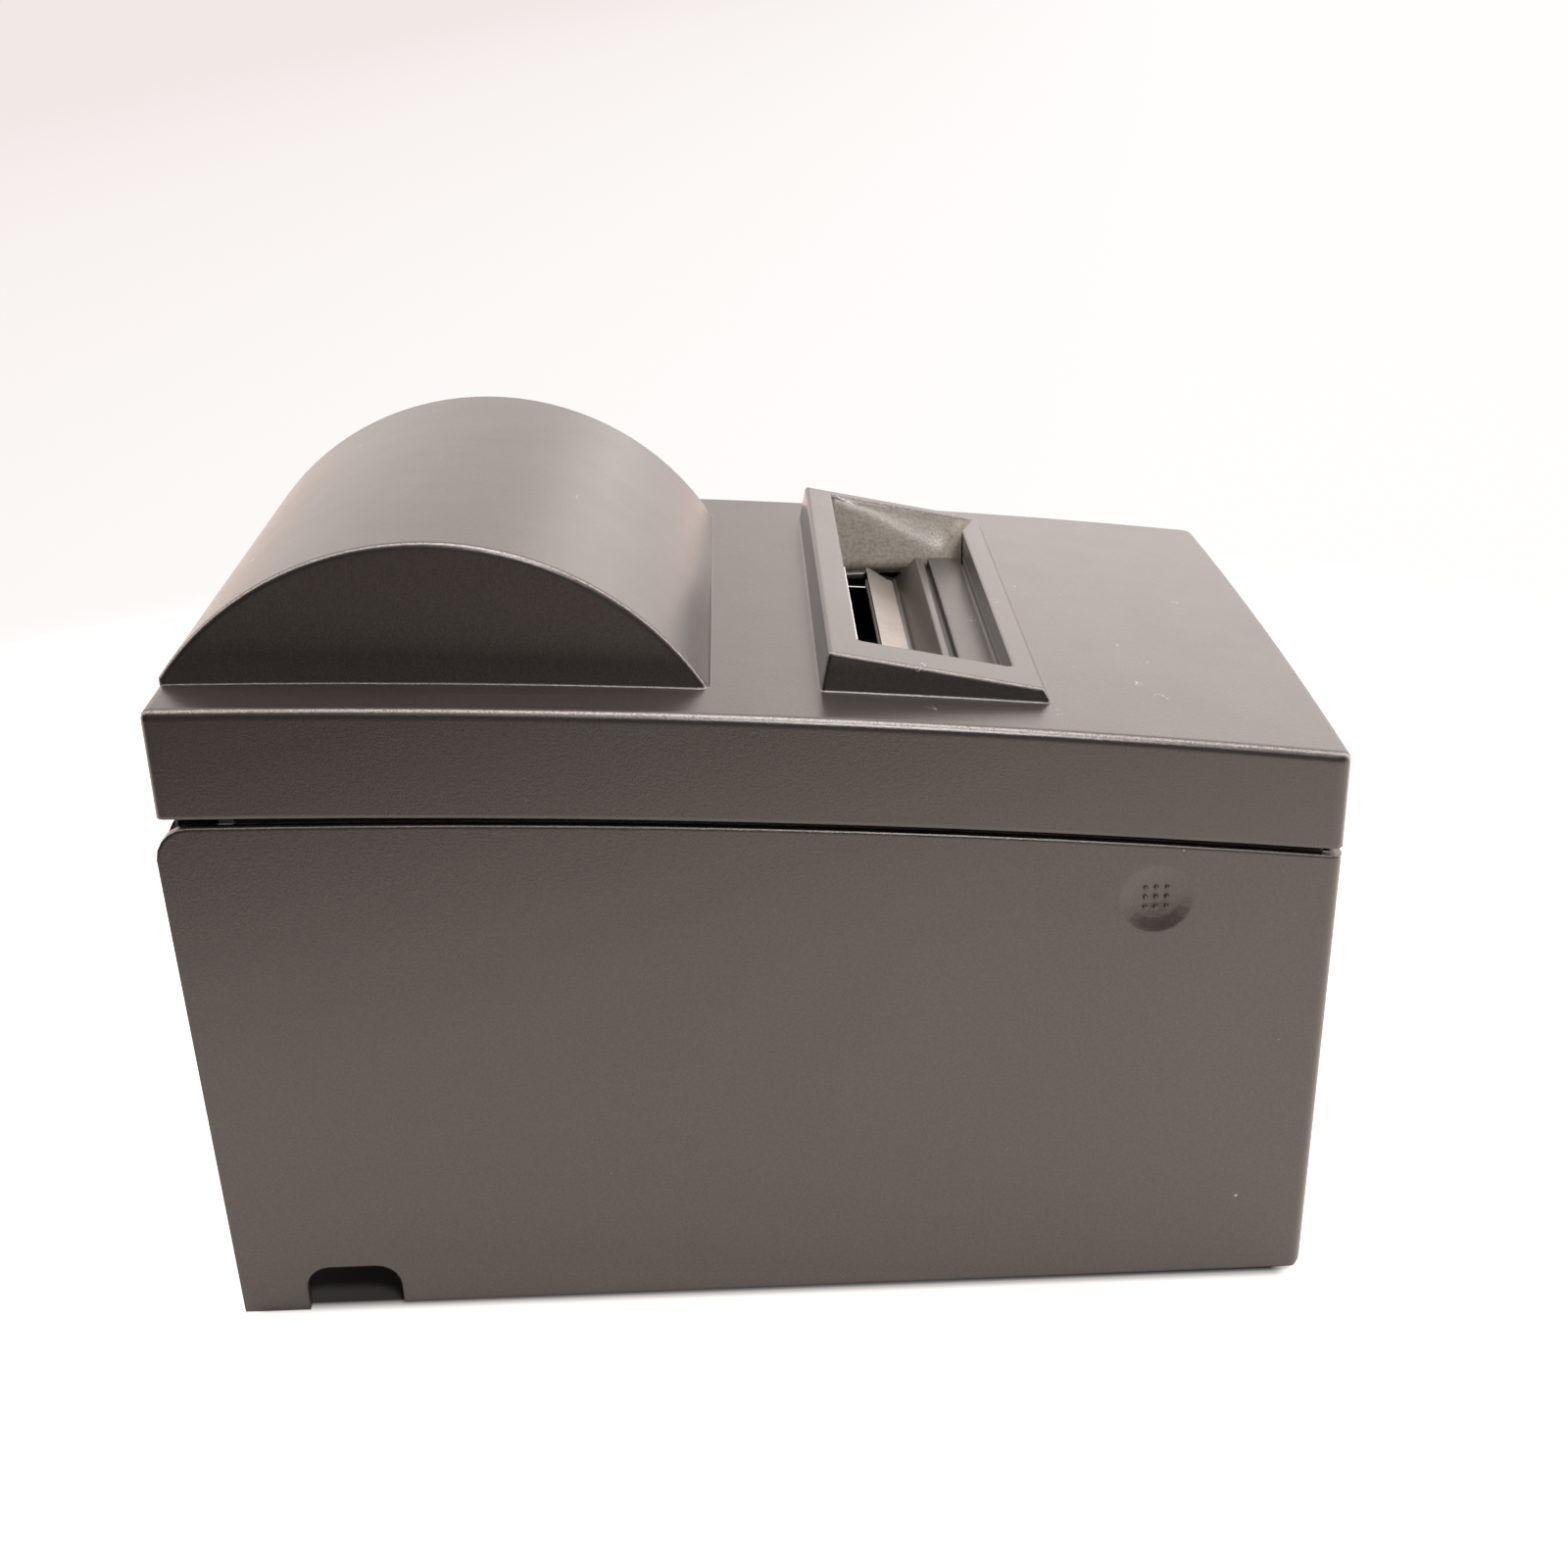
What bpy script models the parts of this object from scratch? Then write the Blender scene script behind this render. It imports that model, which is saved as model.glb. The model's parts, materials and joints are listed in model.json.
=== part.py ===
"""Kitchen receipt printer: a dot impact printer with a hinged top cover over the roll and mechanism.

Metres, +Z up. +X points to the printer's front, the rear is at -X. The origin is on the floor,
under the middle of the printer. Places along X below are counted from the cover's rear edge.
"""

import math

import bmesh
import bpy
from mathutils import Matrix, Vector

MM = 0.001

# Overall sizes
COVER_LENGTH = 245.1 * MM
COVER_WIDTH = 160.0 * MM
COVER_OVERHANG = 1.0 * MM
CASE_WIDTH = COVER_WIDTH - 2 * COVER_OVERHANG
CASE_FRONT_STEP = 0.2 * MM
CASE_REAR_OUT = 1.2 * MM
FRONT_BOW = 1.4 * MM
SEAT_GAP = 0.3 * MM
RUN_GAP = 0.2 * MM
OVERRUN = 6.0 * MM
MERGE = 0.005 * MM

# What fills the cover keeps its share of its length and width
LENGTH_SHARES = 245.1
WIDTH_SHARES = 160.0
ALONG = COVER_LENGTH / LENGTH_SHARES
ACROSS = COVER_WIDTH / WIDTH_SHARES

# Top cover
COVER_WALL = 2.4 * MM
COVER_EDGE_RADIUS = 1.8 * MM
COVER_CORNER_RADIUS = 3.0 * MM
COVER_TOP_REAR_Z = 148.0 * MM
COVER_TOP_FRONT_Z = 129.9 * MM
COVER_TOP_CROWN = 3.5 * MM
SKIRT_REAR_Z = 124.4 * MM
SKIRT_FRONT_Z = 108.5 * MM
SKIRT_CROWN = 2.9 * MM
TOP_STEPS = 12
FRONT_STEPS = 10

# Roll hump
HUMP_X = 54.8 * ALONG
HUMP_Z = 108.45 * MM
HUMP_RADIUS = 68.0 * ALONG
HUMP_HALF_WIDTH = 64.7 * ACROSS
HUMP_EDGE_RADIUS = 1.2 * MM
HUMP_SINK = 5.0 * MM
HUMP_REAR_INSET = 0.3 * MM
HUMP_STEPS = 36

# Raised window frame
FRAME_HALF_WIDTH = 63.6 * ACROSS
FRAME_REAR_BASE_X = 136.7 * ALONG
FRAME_REAR_TOP_X = 138.5 * ALONG
FRAME_REAR_TOP_Z = 150.0 * MM
FRAME_FRONT_TOP_X = 183.5 * ALONG
FRAME_FRONT_TOP_Z = 140.2 * MM
FRAME_TIP_X = 185.2 * ALONG
FRAME_SINK = 2.2 * MM
FRAME_EDGE_RADIUS = 0.7 * MM
WINDOW_REAR_X = 145.0 * ALONG
WINDOW_FRONT_X = 178.3 * ALONG
WINDOW_HALF_WIDTH = 53.1 * ACROSS
WINDOW_CORNER_RADIUS = 1.2 * MM
WINDOW_FOOT_Z = 131.0 * MM
WINDOW_FLARE = 7.2 * MM
WINDOW_FLARE_FRONT = 4.0 * ALONG
WINDOW_FLARE_START = 5.6 * MM

# Window tray, below the window
TRAY_WALL = 1.6 * MM
TRAY_SLOT_FRONT_X = 153.2 * ALONG
TRAY_STRIP_FRONT_X = 160.4 * ALONG
TRAY_STRIP_REAR_Z = 131.0 * MM
TRAY_STRIP_FRONT_Z = 128.0 * MM
TRAY_RIDGE_X = 166.7 * ALONG
TRAY_RIDGE_Z = 132.8 * MM
TRAY_GROOVE_REAR_X = 168.5 * ALONG
TRAY_GROOVE_FRONT_X = 170.0 * ALONG
TRAY_GROOVE_Z = 129.6 * MM
TRAY_FLOOR_Z = 132.4 * MM
TRAY_SIDE = 2.0 * MM
TRAY_FLARED_SIDE = 7.0 * MM
TRAY_SHELF_Z = 129.6 * MM
SLOT_REAR_X = 148.2 * ALONG
SLOT_HALF_WIDTH = 51.2 * ACROSS
SLOT_END = 6.0 * MM

# Paper guide strip and toothed tear bar
STRIP_THICK = 0.8 * MM
STRIP_HALF_WIDTH = 51.8 * ACROSS
STRIP_CHAMFER = 5.2 * MM
BLADE_THICK = 0.6 * MM
BLADE_REAR_X = 147.0 * ALONG
BLADE_HALF_WIDTH = 44.0 * ACROSS
BLADE_TOP_Z = 134.0 * MM
BLADE_TOOTH_HEIGHT = 1.1 * MM
BLADE_TEETH = 44

# Hinge of the cover
HINGE_X = 6.2 * MM
HINGE_Z = 114.2 * MM
HINGE_FROM_SIDE = 7.0 * MM
HINGE_Y = CASE_WIDTH / 2 - HINGE_FROM_SIDE
HINGE_PIN_RADIUS = 1.6 * MM
HINGE_PIN_INWARD = 3.4 * MM
HINGE_PIN_INNER_Y = HINGE_Y - HINGE_PIN_INWARD
EAR_THICK = 3.0 * MM
EAR_RADIUS = 4.0 * MM
EAR_RUN = 16.0 * MM
EAR_SINK = 1.0 * MM
EAR_SLOT_CLEAR = 1.2 * MM
EAR_SLOT_DEPTH = 9.0 * MM

# Cover latch
LATCH_X = 214.0 * ALONG
LATCH_LENGTH = 12.0 * MM
LATCH_HEIGHT = 20.0 * MM
LATCH_THICK = 2.0 * MM
LATCH_HOOK = 1.6 * MM
LATCH_FROM_SIDE = 7.1 * MM
LATCH_Y = CASE_WIDTH / 2 - LATCH_FROM_SIDE
LATCH_HOOK_HEIGHT = 3.0 * MM

# Lower case
CASE_WALL = 2.6 * MM
CASE_CORNER_RADIUS = 3.0 * MM
CASE_TOP_REAR_Z = 121.6 * MM
CASE_TOP_FRONT_Z = 106.3 * MM
CASE_TOP_CROWN = 3.3 * MM
CASE_REAR_FOOT_X = 2.2 * MM
CASE_REAR_TOP_RADIUS = 7.0 * MM
CASE_FRONT_LEAN = 1.1 * MM
CASE_FRONT_TOP_X = COVER_LENGTH + CASE_FRONT_STEP
CASE_FRONT_FOOT_X = CASE_FRONT_TOP_X - CASE_FRONT_LEAN
MID_X = (CASE_FRONT_TOP_X + FRONT_BOW - CASE_REAR_OUT) / 2
CASE_FRONT_CHAMFER = 3.0 * MM
CASE_BOTTOM_REAR_Z = 1.2 * MM
CASE_BOTTOM_FRONT_Z = 2.0 * MM
CASE_FLOOR = 2.4 * MM
CORNER_STEPS = 5
RIM_THICK = 1.4 * MM
RIM_HEIGHT = 2.2 * MM
RIM_ROOT = 5.0 * MM
RIM_REAR_X = 15.0 * ALONG
RIM_INSET = 0.1 * MM

# Cable notches and cable cavity
NOTCH_REAR_X = 17.0 * ALONG
NOTCH_FRONT_X = 38.5 * ALONG
NOTCH_TOP_Z = 11.5 * MM
NOTCH_RADIUS = 5.5 * MM
CAVITY_FRONT_X = 42.0 * ALONG
CAVITY_TOP_Z = 36.0 * MM
CAVITY_WALL = 2.4 * MM

# Thumb marks in the case's sides
DIMPLE_X = 206.2 * ALONG
DIMPLE_Z = 98.0 * MM
DIMPLE_RADIUS = 7.9 * MM
DIMPLE_DEPTH = 1.2 * MM
DIMPLE_SHARES = (0.2, 0.64, 1.0)
DIMPLE_STEPS = 18
DOT_PITCH = 2.27 * MM
DOT_RADIUS = 0.42 * MM
DOT_RISE = 0.55 * MM
DOT_SINK = 0.4 * MM

# Feet under the case
FOOT_RADIUS = 7.0 * MM
FOOT_REAR_X = 54.0 * ALONG
FOOT_FRONT_X = 228.0 * ALONG
FOOT_Y = 62.0 * ACROSS
FOOT_EDGE = 0.5 * MM
FOOT_RECESS = 1.0 * MM
FOOT_RECESS_CLEAR = 0.5 * MM

# Roll bucket
BUCKET_X = 56.0 * ALONG
BUCKET_Z = 96.0 * MM
BUCKET_RADIUS = 45.0 * ALONG
BUCKET_WALL = 2.0 * MM
BUCKET_TOP_Z = 113.0 * MM
BUCKET_HALF_WIDTH = 39.0 * ACROSS
BUCKET_FLANGE_GAP = 0.6 * MM
BUCKET_FLANGE_HALF = HINGE_PIN_INNER_Y - BUCKET_FLANGE_GAP
BUCKET_FLANGE_REAR_X = 4.0 * ALONG
BUCKET_FLANGE_FRONT_X = 108.0 * ALONG
BUCKET_EXIT_Z = 100.0 * MM
BUCKET_EXIT_X = 96.0 * ALONG
BUCKET_LEG = 6.0 * MM
BUCKET_STEPS = 20

# Near-end lever in the bucket's cheek
LEVER_X = 56.0 * ALONG
LEVER_Z = 78.0 * MM
LEVER_PIVOT_RADIUS = 1.5 * MM
LEVER_LENGTH = 22.0 * MM
LEVER_WIDTH = 5.0 * MM
LEVER_THICK = 2.0 * MM
LEVER_NOSE = 1.5 * MM
LEVER_EYE = 1.2 * MM
LEVER_WINDOW = 3.0 * MM

# Mechanism plates
FRAME_Y = 58.0 * ACROSS
PLATE_THICK = 1.6 * MM
PLATE_REAR_X = 112.0 * ALONG
PLATE_FRONT_X = 230.0 * ALONG
PLATE_TOP_Z = 96.0 * MM
PLATE_STEP_X = 188.0 * ALONG
PLATE_CORNER = 6.0 * MM
BASE_THICK = 1.6 * MM
BASE_REAR_X = 46.0 * ALONG
BASE_HOLE_RADIUS = 9.0 * MM
BASE_FLANGE = 4.0 * MM
LIGHTENING_RADIUS = 8.0 * MM

# Paper feed
FEED_X = 130.0 * ALONG
FEED_Z = 80.0 * MM
FEED_SHAFT_RADIUS = 2.5 * MM
FEED_ROLLER_RADIUS = 7.0 * ALONG
FEED_ROLLER_HALF = 34.0 * ACROSS
PINCH_RADIUS = 5.0 * ALONG
PINCH_HALF = 30.0 * ACROSS
PINCH_SHAFT_RADIUS = 1.5 * MM
PINCH_ANGLE = 20.0
PAPER_GAP = 0.4 * MM

# Feed gears, outside the left plate
GEAR_MODULE = 1.0 * ALONG
GEAR_WIDTH = 4.0 * MM
FEED_TEETH = 24
IDLER_TEETH = 20
PINION_TEETH = 12
IDLER_ANGLE = -70.0
PINION_ANGLE = -25.0
GEAR_HUB_RADIUS = 3.6 * MM
GEAR_HUB_LENGTH = 3.0 * MM
GEAR_OFF_PLATE = 0.5 * MM
IDLER_PIN_RADIUS = 1.5 * MM
GEAR_WEB_HOLE = 1.8 * MM
GEAR_WEB_HOLES = 5
TOOTH_TIP_SHARE = 0.13
TOOTH_ROOT_SHARE = 0.31
TOOTH_OUT_SHARE = 0.88
TOOTH_IN_SHARE = 1.22

# Motors
FEED_MOTOR_RADIUS = 17.5 * ALONG
FEED_MOTOR_LENGTH = 18.0 * MM
CARRIAGE_MOTOR_RADIUS = 14.0 * ALONG
CARRIAGE_MOTOR_LENGTH = 24.0 * MM
MOTOR_FLANGE = 1.2 * MM
MOTOR_EAR = 5.0 * MM
MOTOR_EAR_ROUND = 4.5 * MM
MOTOR_SHAFT_RADIUS = 1.0 * MM
MOTOR_EDGE = 0.6 * MM

# Carriage, its shaft and its rail
SHAFT_X = 172.0 * ALONG
SHAFT_Z = 78.0 * MM
SHAFT_RADIUS = 3.0 * MM
CARRIAGE_HALF = 9.0 * MM
CARRIAGE_REAR_X = 163.0 * ALONG
CARRIAGE_FRONT_X = 186.0 * ALONG
CARRIAGE_BOTTOM_Z = 70.0 * MM
CARRIAGE_TOP_Z = 86.0 * MM
CARRIAGE_EDGE = 1.0 * MM
RAIL_X = 200.0 * ALONG
RAIL_Z = 80.5 * MM
RAIL_THICK = 1.5 * MM
RAIL_LIP = 8.0 * MM
RAIL_DEPTH = 12.0 * MM
CARRIAGE_TONGUE = 4.0 * MM

# Print head
HEAD_NOSE_X = 150.5 * ALONG
HEAD_Z = 97.0 * MM
HEAD_HALF = 7.5 * MM
HEAD_REAR_X = 160.0 * ALONG
HEAD_FRONT_X = 180.0 * ALONG
HEAD_HEIGHT = 18.0 * MM
HEAD_FIN = 1.0 * MM
HEAD_FINS = 5
NOSE_HALF = 3.0 * MM
NOSE_HEIGHT = 6.0 * MM

# Platen behind the paper
PLATEN_REAR_X = 143.3 * ALONG
PLATEN_FRONT_X = 148.3 * ALONG
PLATEN_HEIGHT = 12.0 * MM
PLATEN_EDGE = 0.8 * MM

# Belt
BELT_X = 186.0 * ALONG
BELT_Z = 58.0 * MM
BELT_WIDTH = 5.0 * MM
BELT_THICK = 1.0 * MM
PULLEY_RADIUS = 6.0 * MM
PULLEY_FLANGE = 1.0 * MM
PULLEY_FLANGE_THICK = 0.8 * MM
PULLEY_FROM_PLATE = 0.4 * MM
PULLEY_Y = FRAME_Y - PLATE_THICK - CARRIAGE_MOTOR_RADIUS - PULLEY_FROM_PLATE
PULLEY_BORE = 1.4 * MM
CLAMP_HALF = 3.0 * MM
CLAMP_WALL = 1.4 * MM
MOTOR_SHELF_Z = 50.0 * MM
SHELF_THICK = 1.6 * MM
SHELF_HALF_DEPTH = 16.0 * ALONG

# Ribbon cassette
RIBBON_REAR_X = 187.0 * ALONG
RIBBON_FRONT_X = 236.0 * ALONG
RIBBON_HALF = 60.0 * ACROSS
RIBBON_BOTTOM_Z = 97.5 * MM
RIBBON_HEIGHT = 14.0 * MM
RIBBON_ARM_REAR_X = 150.0 * ALONG
RIBBON_ARM_INNER = 45.0 * ACROSS
RIBBON_ARM_WIDTH = 8.0 * MM
RIBBON_EDGE = 1.0 * MM
RIBBON_CORNER = 5.0 * MM
RIBBON_WIDTH = 8.0 * MM
RIBBON_THICK = 0.4 * MM
RIBBON_NOSE_X = 149.3 * ALONG
KNOB_X = 214.0 * ALONG
KNOB_Y = -34.0 * ACROSS
KNOB_RADIUS = 7.0 * MM
KNOB_HEIGHT = 3.0 * MM
KNOB_POST = 1.6 * MM
KNOB_RIBS = 12
KNOB_RIB = 0.7 * MM

# Circuit board and connectors
BOARD_THICK = 1.6 * MM
BOARD_REAR_X = 6.0 * ALONG
BOARD_FRONT_X = 44.0 * ALONG
BOARD_HALF_WIDTH = 58.0 * ACROSS
CHIP_SHARES = (-0.7, -0.3, 0.15, 0.6)
CHIP_HALF = 5.0 * MM
CHIP_HEIGHT = 1.6 * MM
CAPACITOR_SHARES = (-0.5, -0.1, 0.4, 0.8)
CAPACITOR_RADIUS = 3.0 * MM
CAPACITOR_HEIGHT = 4.5 * MM
PANEL_THICK = 1.2 * MM
SERIAL_SLOPE_SHARE = 0.18
PANEL_HALF_WIDTH = 66.0 * ACROSS
PANEL_BOTTOM_Z = 7.0 * MM
SEAT_WINDOW = 4.0 * MM
JACK_CLEAR = 0.3 * MM
SERIAL_Y = 28.0 * ACROSS
SERIAL_Z = 22.0 * MM
SERIAL_HALF_WIDTH = 20.0 * MM
SERIAL_HEIGHT = 10.0 * MM
SERIAL_DEPTH = 6.0 * MM
SERIAL_FLANGE_HALF = 26.5 * MM
SERIAL_FLANGE_HEIGHT = 12.5 * MM
SERIAL_WALL = 0.8 * MM
DRAWER_Y = -14.0 * ACROSS
DRAWER_SIZE = 14.0 * MM
DRAWER_HEIGHT = 12.0 * MM
DRAWER_DEPTH = 12.0 * MM
DRAWER_MOUTH = 9.6 * MM
DRAWER_MOUTH_HEIGHT = 7.0 * MM
DRAWER_TAB = 4.0 * MM
POWER_Y = -44.0 * ACROSS
POWER_RADIUS = 7.5 * MM
POWER_MOUTH_RADIUS = 5.6 * MM
POWER_DEPTH = 10.0 * MM
POWER_FLANGE = 1.2 * MM

# Front controls
CONTROL_FROM_SIDE = 33.0 * MM
CONTROL_Y = CONTROL_FROM_SIDE - CASE_WIDTH / 2
CONTROL_Z = 88.0 * MM
CONTROL_HALF_WIDTH = 22.0 * MM
CONTROL_HEIGHT = 20.0 * MM
CONTROL_THICK = 1.6 * MM
CONTROL_PROUD = 0.4 * MM
CONTROL_CORNER = 3.0 * MM
BUTTON_INWARD = 10.0 * MM
BUTTON_Y = CONTROL_Y + BUTTON_INWARD
BUTTON_HALF_WIDTH = 7.0 * MM
BUTTON_HEIGHT = 8.0 * MM
BUTTON_PROUD = 0.2 * MM
BUTTON_FLANGE = 1.4 * MM
BUTTON_STEM = 4.0 * MM
BUTTON_CORNER = 2.0 * MM
LAMP_RADIUS = 1.5 * MM
LAMP_OUTWARD = 16.0 * MM
LAMP_Y = CONTROL_Y - LAMP_OUTWARD
LAMP_PITCH = 6.0 * MM
LAMP_LENGTH = 6.0 * MM
LAMP_PROUD = 0.1 * MM
SWITCH_FROM_SIDE = 23.0 * MM
SWITCH_Y = CASE_WIDTH / 2 - SWITCH_FROM_SIDE
SWITCH_Z = 24.0 * MM
SWITCH_HALF_WIDTH = 5.2 * MM
SWITCH_HEIGHT = 15.0 * MM
SWITCH_BEZEL = 1.6 * MM
SWITCH_CORNER = 0.4 * MM
SWITCH_PROUD = 0.5 * MM
SWITCH_BODY_DEPTH = 12.0 * MM
ROCKER_ANGLE = 7.0
ROCKER_HALF_HEIGHT = 6.7 * MM
ROCKER_PIVOT = 5.0 * MM
ROCKER_DIP = 1.2 * MM
ROCKER_DEPTH = 7.5 * MM
ROCKER_PIN = 1.0 * MM

PLANES = {
    "XY": Matrix.Identity(4),
    "XZ": Matrix.Rotation(math.radians(90.0), 4, "X"),
    "YZ": Matrix(((0, 0, 1, 0), (1, 0, 0, 0), (0, 1, 0, 0), (0, 0, 0, 1))),
}
AXES = {
    "Z": Matrix.Identity(4),
    "Y": Matrix.Rotation(math.radians(-90.0), 4, "X"),
    "X": Matrix.Rotation(math.radians(90.0), 4, "Y"),
}


def clear_scene():
    for obj in list(bpy.data.objects):
        bpy.data.objects.remove(obj, do_unlink=True)


def collection(name):
    group = bpy.data.collections.new(name)
    bpy.context.scene.collection.children.link(group)
    return group


clear_scene()
PARTS = collection("receipt_printer")
CUTTERS = collection("cutters")
MATERIALS = {}


def material(name, colour, roughness, metallic=0.0):
    made = bpy.data.materials.new(name)
    made.use_nodes = True
    shader = made.node_tree.nodes["Principled BSDF"]
    shader.inputs["Base Color"].default_value = (*colour, 1.0)
    shader.inputs["Roughness"].default_value = roughness
    shader.inputs["Metallic"].default_value = metallic
    MATERIALS[name] = made
    return made


def new_object(name, mesh):
    obj = bpy.data.objects.new(name, mesh)
    PARTS.objects.link(obj)
    return obj


def tool(obj):
    """Move a construction body to the cutters, which the finished part leaves out."""
    PARTS.objects.unlink(obj)
    CUTTERS.objects.link(obj)
    obj.hide_render = True
    obj.display_type = "WIRE"
    return obj


def outline(name, loops, low, high, plane="XZ"):
    """A solid whose closed outlines lie in a plane and which runs from low to high across it."""
    curve = bpy.data.curves.new(name + "_outline", "CURVE")
    curve.dimensions = "2D"
    curve.fill_mode = "BOTH"
    curve.extrude = (high - low) / 2
    for loop in loops:
        spline = curve.splines.new("POLY")
        spline.points.add(len(loop) - 1)
        for point, (across, up) in zip(spline.points, loop):
            point.co = (across, up, 0.0, 1.0)
        spline.use_cyclic_u = True
    guide = bpy.data.objects.new(name + "_outline", curve)
    CUTTERS.objects.link(guide)
    graph = bpy.context.evaluated_depsgraph_get()
    mesh = bpy.data.meshes.new_from_object(guide.evaluated_get(graph))
    bpy.data.objects.remove(guide, do_unlink=True)
    middle = (low + high) / 2
    if plane == "XZ":
        middle = -middle
    shape = bmesh.new()
    shape.from_mesh(mesh)
    bmesh.ops.remove_doubles(shape, verts=shape.verts, dist=MERGE)
    if len(loops) == 1:
        bmesh.ops.dissolve_limit(
            shape, angle_limit=math.radians(0.05), verts=shape.verts, edges=shape.edges
        )
    bmesh.ops.transform(shape, matrix=PLANES[plane] @ Matrix.Translation((0, 0, middle)), verts=shape.verts)
    bmesh.ops.recalc_face_normals(shape, faces=shape.faces)
    shape.to_mesh(mesh)
    shape.free()
    mesh.materials.clear()
    return new_object(name, mesh)


def loft(name, rings):
    """A closed solid through rings of points, each ring with as many points as the last."""
    shape = bmesh.new()
    rows = [[shape.verts.new(point) for point in ring] for ring in rings]
    shape.faces.new(rows[0])
    shape.faces.new(rows[-1])
    for low, high in zip(rows, rows[1:]):
        for step in range(len(low)):
            after = (step + 1) % len(low)
            shape.faces.new((low[step], low[after], high[after], high[step]))
    bmesh.ops.triangulate(shape, faces=shape.faces)
    bmesh.ops.recalc_face_normals(shape, faces=shape.faces)
    mesh = bpy.data.meshes.new(name)
    shape.to_mesh(mesh)
    shape.free()
    return new_object(name, mesh)


def box(name, low, high):
    mesh = bpy.data.meshes.new(name)
    shape = bmesh.new()
    bmesh.ops.create_cube(shape, size=1.0)
    size = Vector(high) - Vector(low)
    centre = (Vector(high) + Vector(low)) / 2
    bmesh.ops.transform(
        shape, matrix=Matrix.Translation(centre) @ Matrix.Diagonal((*size, 1.0)), verts=shape.verts
    )
    shape.to_mesh(mesh)
    shape.free()
    return new_object(name, mesh)


def cylinder(name, radius, start, length, axis="Y", steps=20, end_radius=None):
    """A round bar or cone from start, running length along an axis."""
    mesh = bpy.data.meshes.new(name)
    shape = bmesh.new()
    bmesh.ops.create_cone(
        shape,
        cap_ends=True,
        segments=steps,
        radius1=radius,
        radius2=radius if end_radius is None else end_radius,
        depth=length,
    )
    place = Matrix.Translation(start) @ AXES[axis] @ Matrix.Translation((0, 0, length / 2))
    bmesh.ops.transform(shape, matrix=place, verts=shape.verts)
    shape.to_mesh(mesh)
    shape.free()
    return new_object(name, mesh)


def combine(obj, other, operation):
    change = obj.modifiers.new(operation.lower(), "BOOLEAN")
    change.operation = operation
    change.object = tool(other)
    return obj


def cut(obj, *others):
    for other in others:
        combine(obj, other, "DIFFERENCE")
    return obj


def join(obj, *others):
    for other in others:
        combine(obj, other, "UNION")
    return obj


def bevel(obj, width, segments=2, angle=30.0):
    change = obj.modifiers.new("bevel", "BEVEL")
    change.width = width
    change.segments = segments
    change.limit_method = "ANGLE"
    change.angle_limit = math.radians(angle)
    return obj


def finish(obj, skin, smooth=False):
    obj.data.materials.append(MATERIALS[skin])
    if smooth:
        obj.data.shade_smooth()
        obj.data.set_sharp_from_angle(angle=math.radians(30.0))
    return obj


def pivot(obj, point):
    """Put an object's origin on its joint's axis and leave its shape where it is."""
    obj.data.transform(Matrix.Translation(-Vector(point)))
    obj.location = point
    return obj


def x_at(along):
    return along - MID_X


def polar(centre, radius, angle):
    turn = math.radians(angle)
    return (centre[0] + radius * math.cos(turn), centre[1] + radius * math.sin(turn))


def arc(centre, radius, start, end, steps):
    return [polar(centre, radius, start + (end - start) * step / steps) for step in range(steps + 1)]


def rounded(low, high, radius, steps=CORNER_STEPS):
    """A rectangle with round corners, anticlockwise."""
    corners = (
        ((high[0] - radius, low[1] + radius), -90.0),
        ((high[0] - radius, high[1] - radius), 0.0),
        ((low[0] + radius, high[1] - radius), 90.0),
        ((low[0] + radius, low[1] + radius), 180.0),
    )
    points = []
    for centre, start in corners:
        points.extend(arc(centre, radius, start, start + 90.0, steps))
    return points


def crowned(start, end, start_z, end_z, crown, steps, offset=0.0):
    """A gently arched line between two heights, as points along X."""
    points = []
    for step in range(steps + 1):
        share = step / steps
        height = start_z + (end_z - start_z) * share + 4 * crown * share * (1 - share)
        points.append((x_at(start + (end - start) * share), height + offset))
    return points


def crown_height(along, start, end, start_z, end_z, crown):
    share = (along - start) / (end - start)
    return start_z + (end_z - start_z) * share + 4 * crown * share * (1 - share)


def cover_top(along):
    return crown_height(along, 0, COVER_LENGTH, COVER_TOP_REAR_Z, COVER_TOP_FRONT_Z, COVER_TOP_CROWN)


def case_top(along):
    return crown_height(along, 0, COVER_LENGTH, CASE_TOP_REAR_Z, CASE_TOP_FRONT_Z, CASE_TOP_CROWN)


def plan(name, length, width, corner, bow, low, high, rear=0.0):
    """A level outline of the printer with a bowed front edge and round front corners."""
    half = width / 2
    side = half - corner
    lead = bow * (1 - (side / half) ** 2)
    points = [(x_at(rear), half), (x_at(rear), -half)]
    points += arc((x_at(length - corner + lead), -side), corner, -90.0, 0.0, CORNER_STEPS)
    for step in range(1, FRONT_STEPS):
        across = side * (2 * step / FRONT_STEPS - 1)
        points.append((x_at(length + bow * (1 - (across / half) ** 2)), across))
    points += arc((x_at(length - corner + lead), side), corner, 0.0, 90.0, CORNER_STEPS)
    return outline(name, [points], low, high, "XY")


def hump_outline(radius, rear, foot):
    """The roll hump's arch, closed at a level foot."""
    start = math.degrees(math.acos(-(HUMP_X - rear) / radius))
    end = math.degrees(math.asin((cover_top(COVER_LENGTH / 2) - HUMP_SINK - HUMP_Z) / radius))
    points = arc((x_at(HUMP_X), HUMP_Z), radius, end, start, HUMP_STEPS)
    return points + [(points[-1][0], foot), (points[0][0], foot)]


def frame_top(along):
    """Height of the window frame's sloping top face."""
    fall = (FRAME_REAR_TOP_Z - FRAME_FRONT_TOP_Z) / (FRAME_FRONT_TOP_X - FRAME_REAR_TOP_X)
    return FRAME_REAR_TOP_Z - fall * (along - FRAME_REAR_TOP_X)


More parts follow.
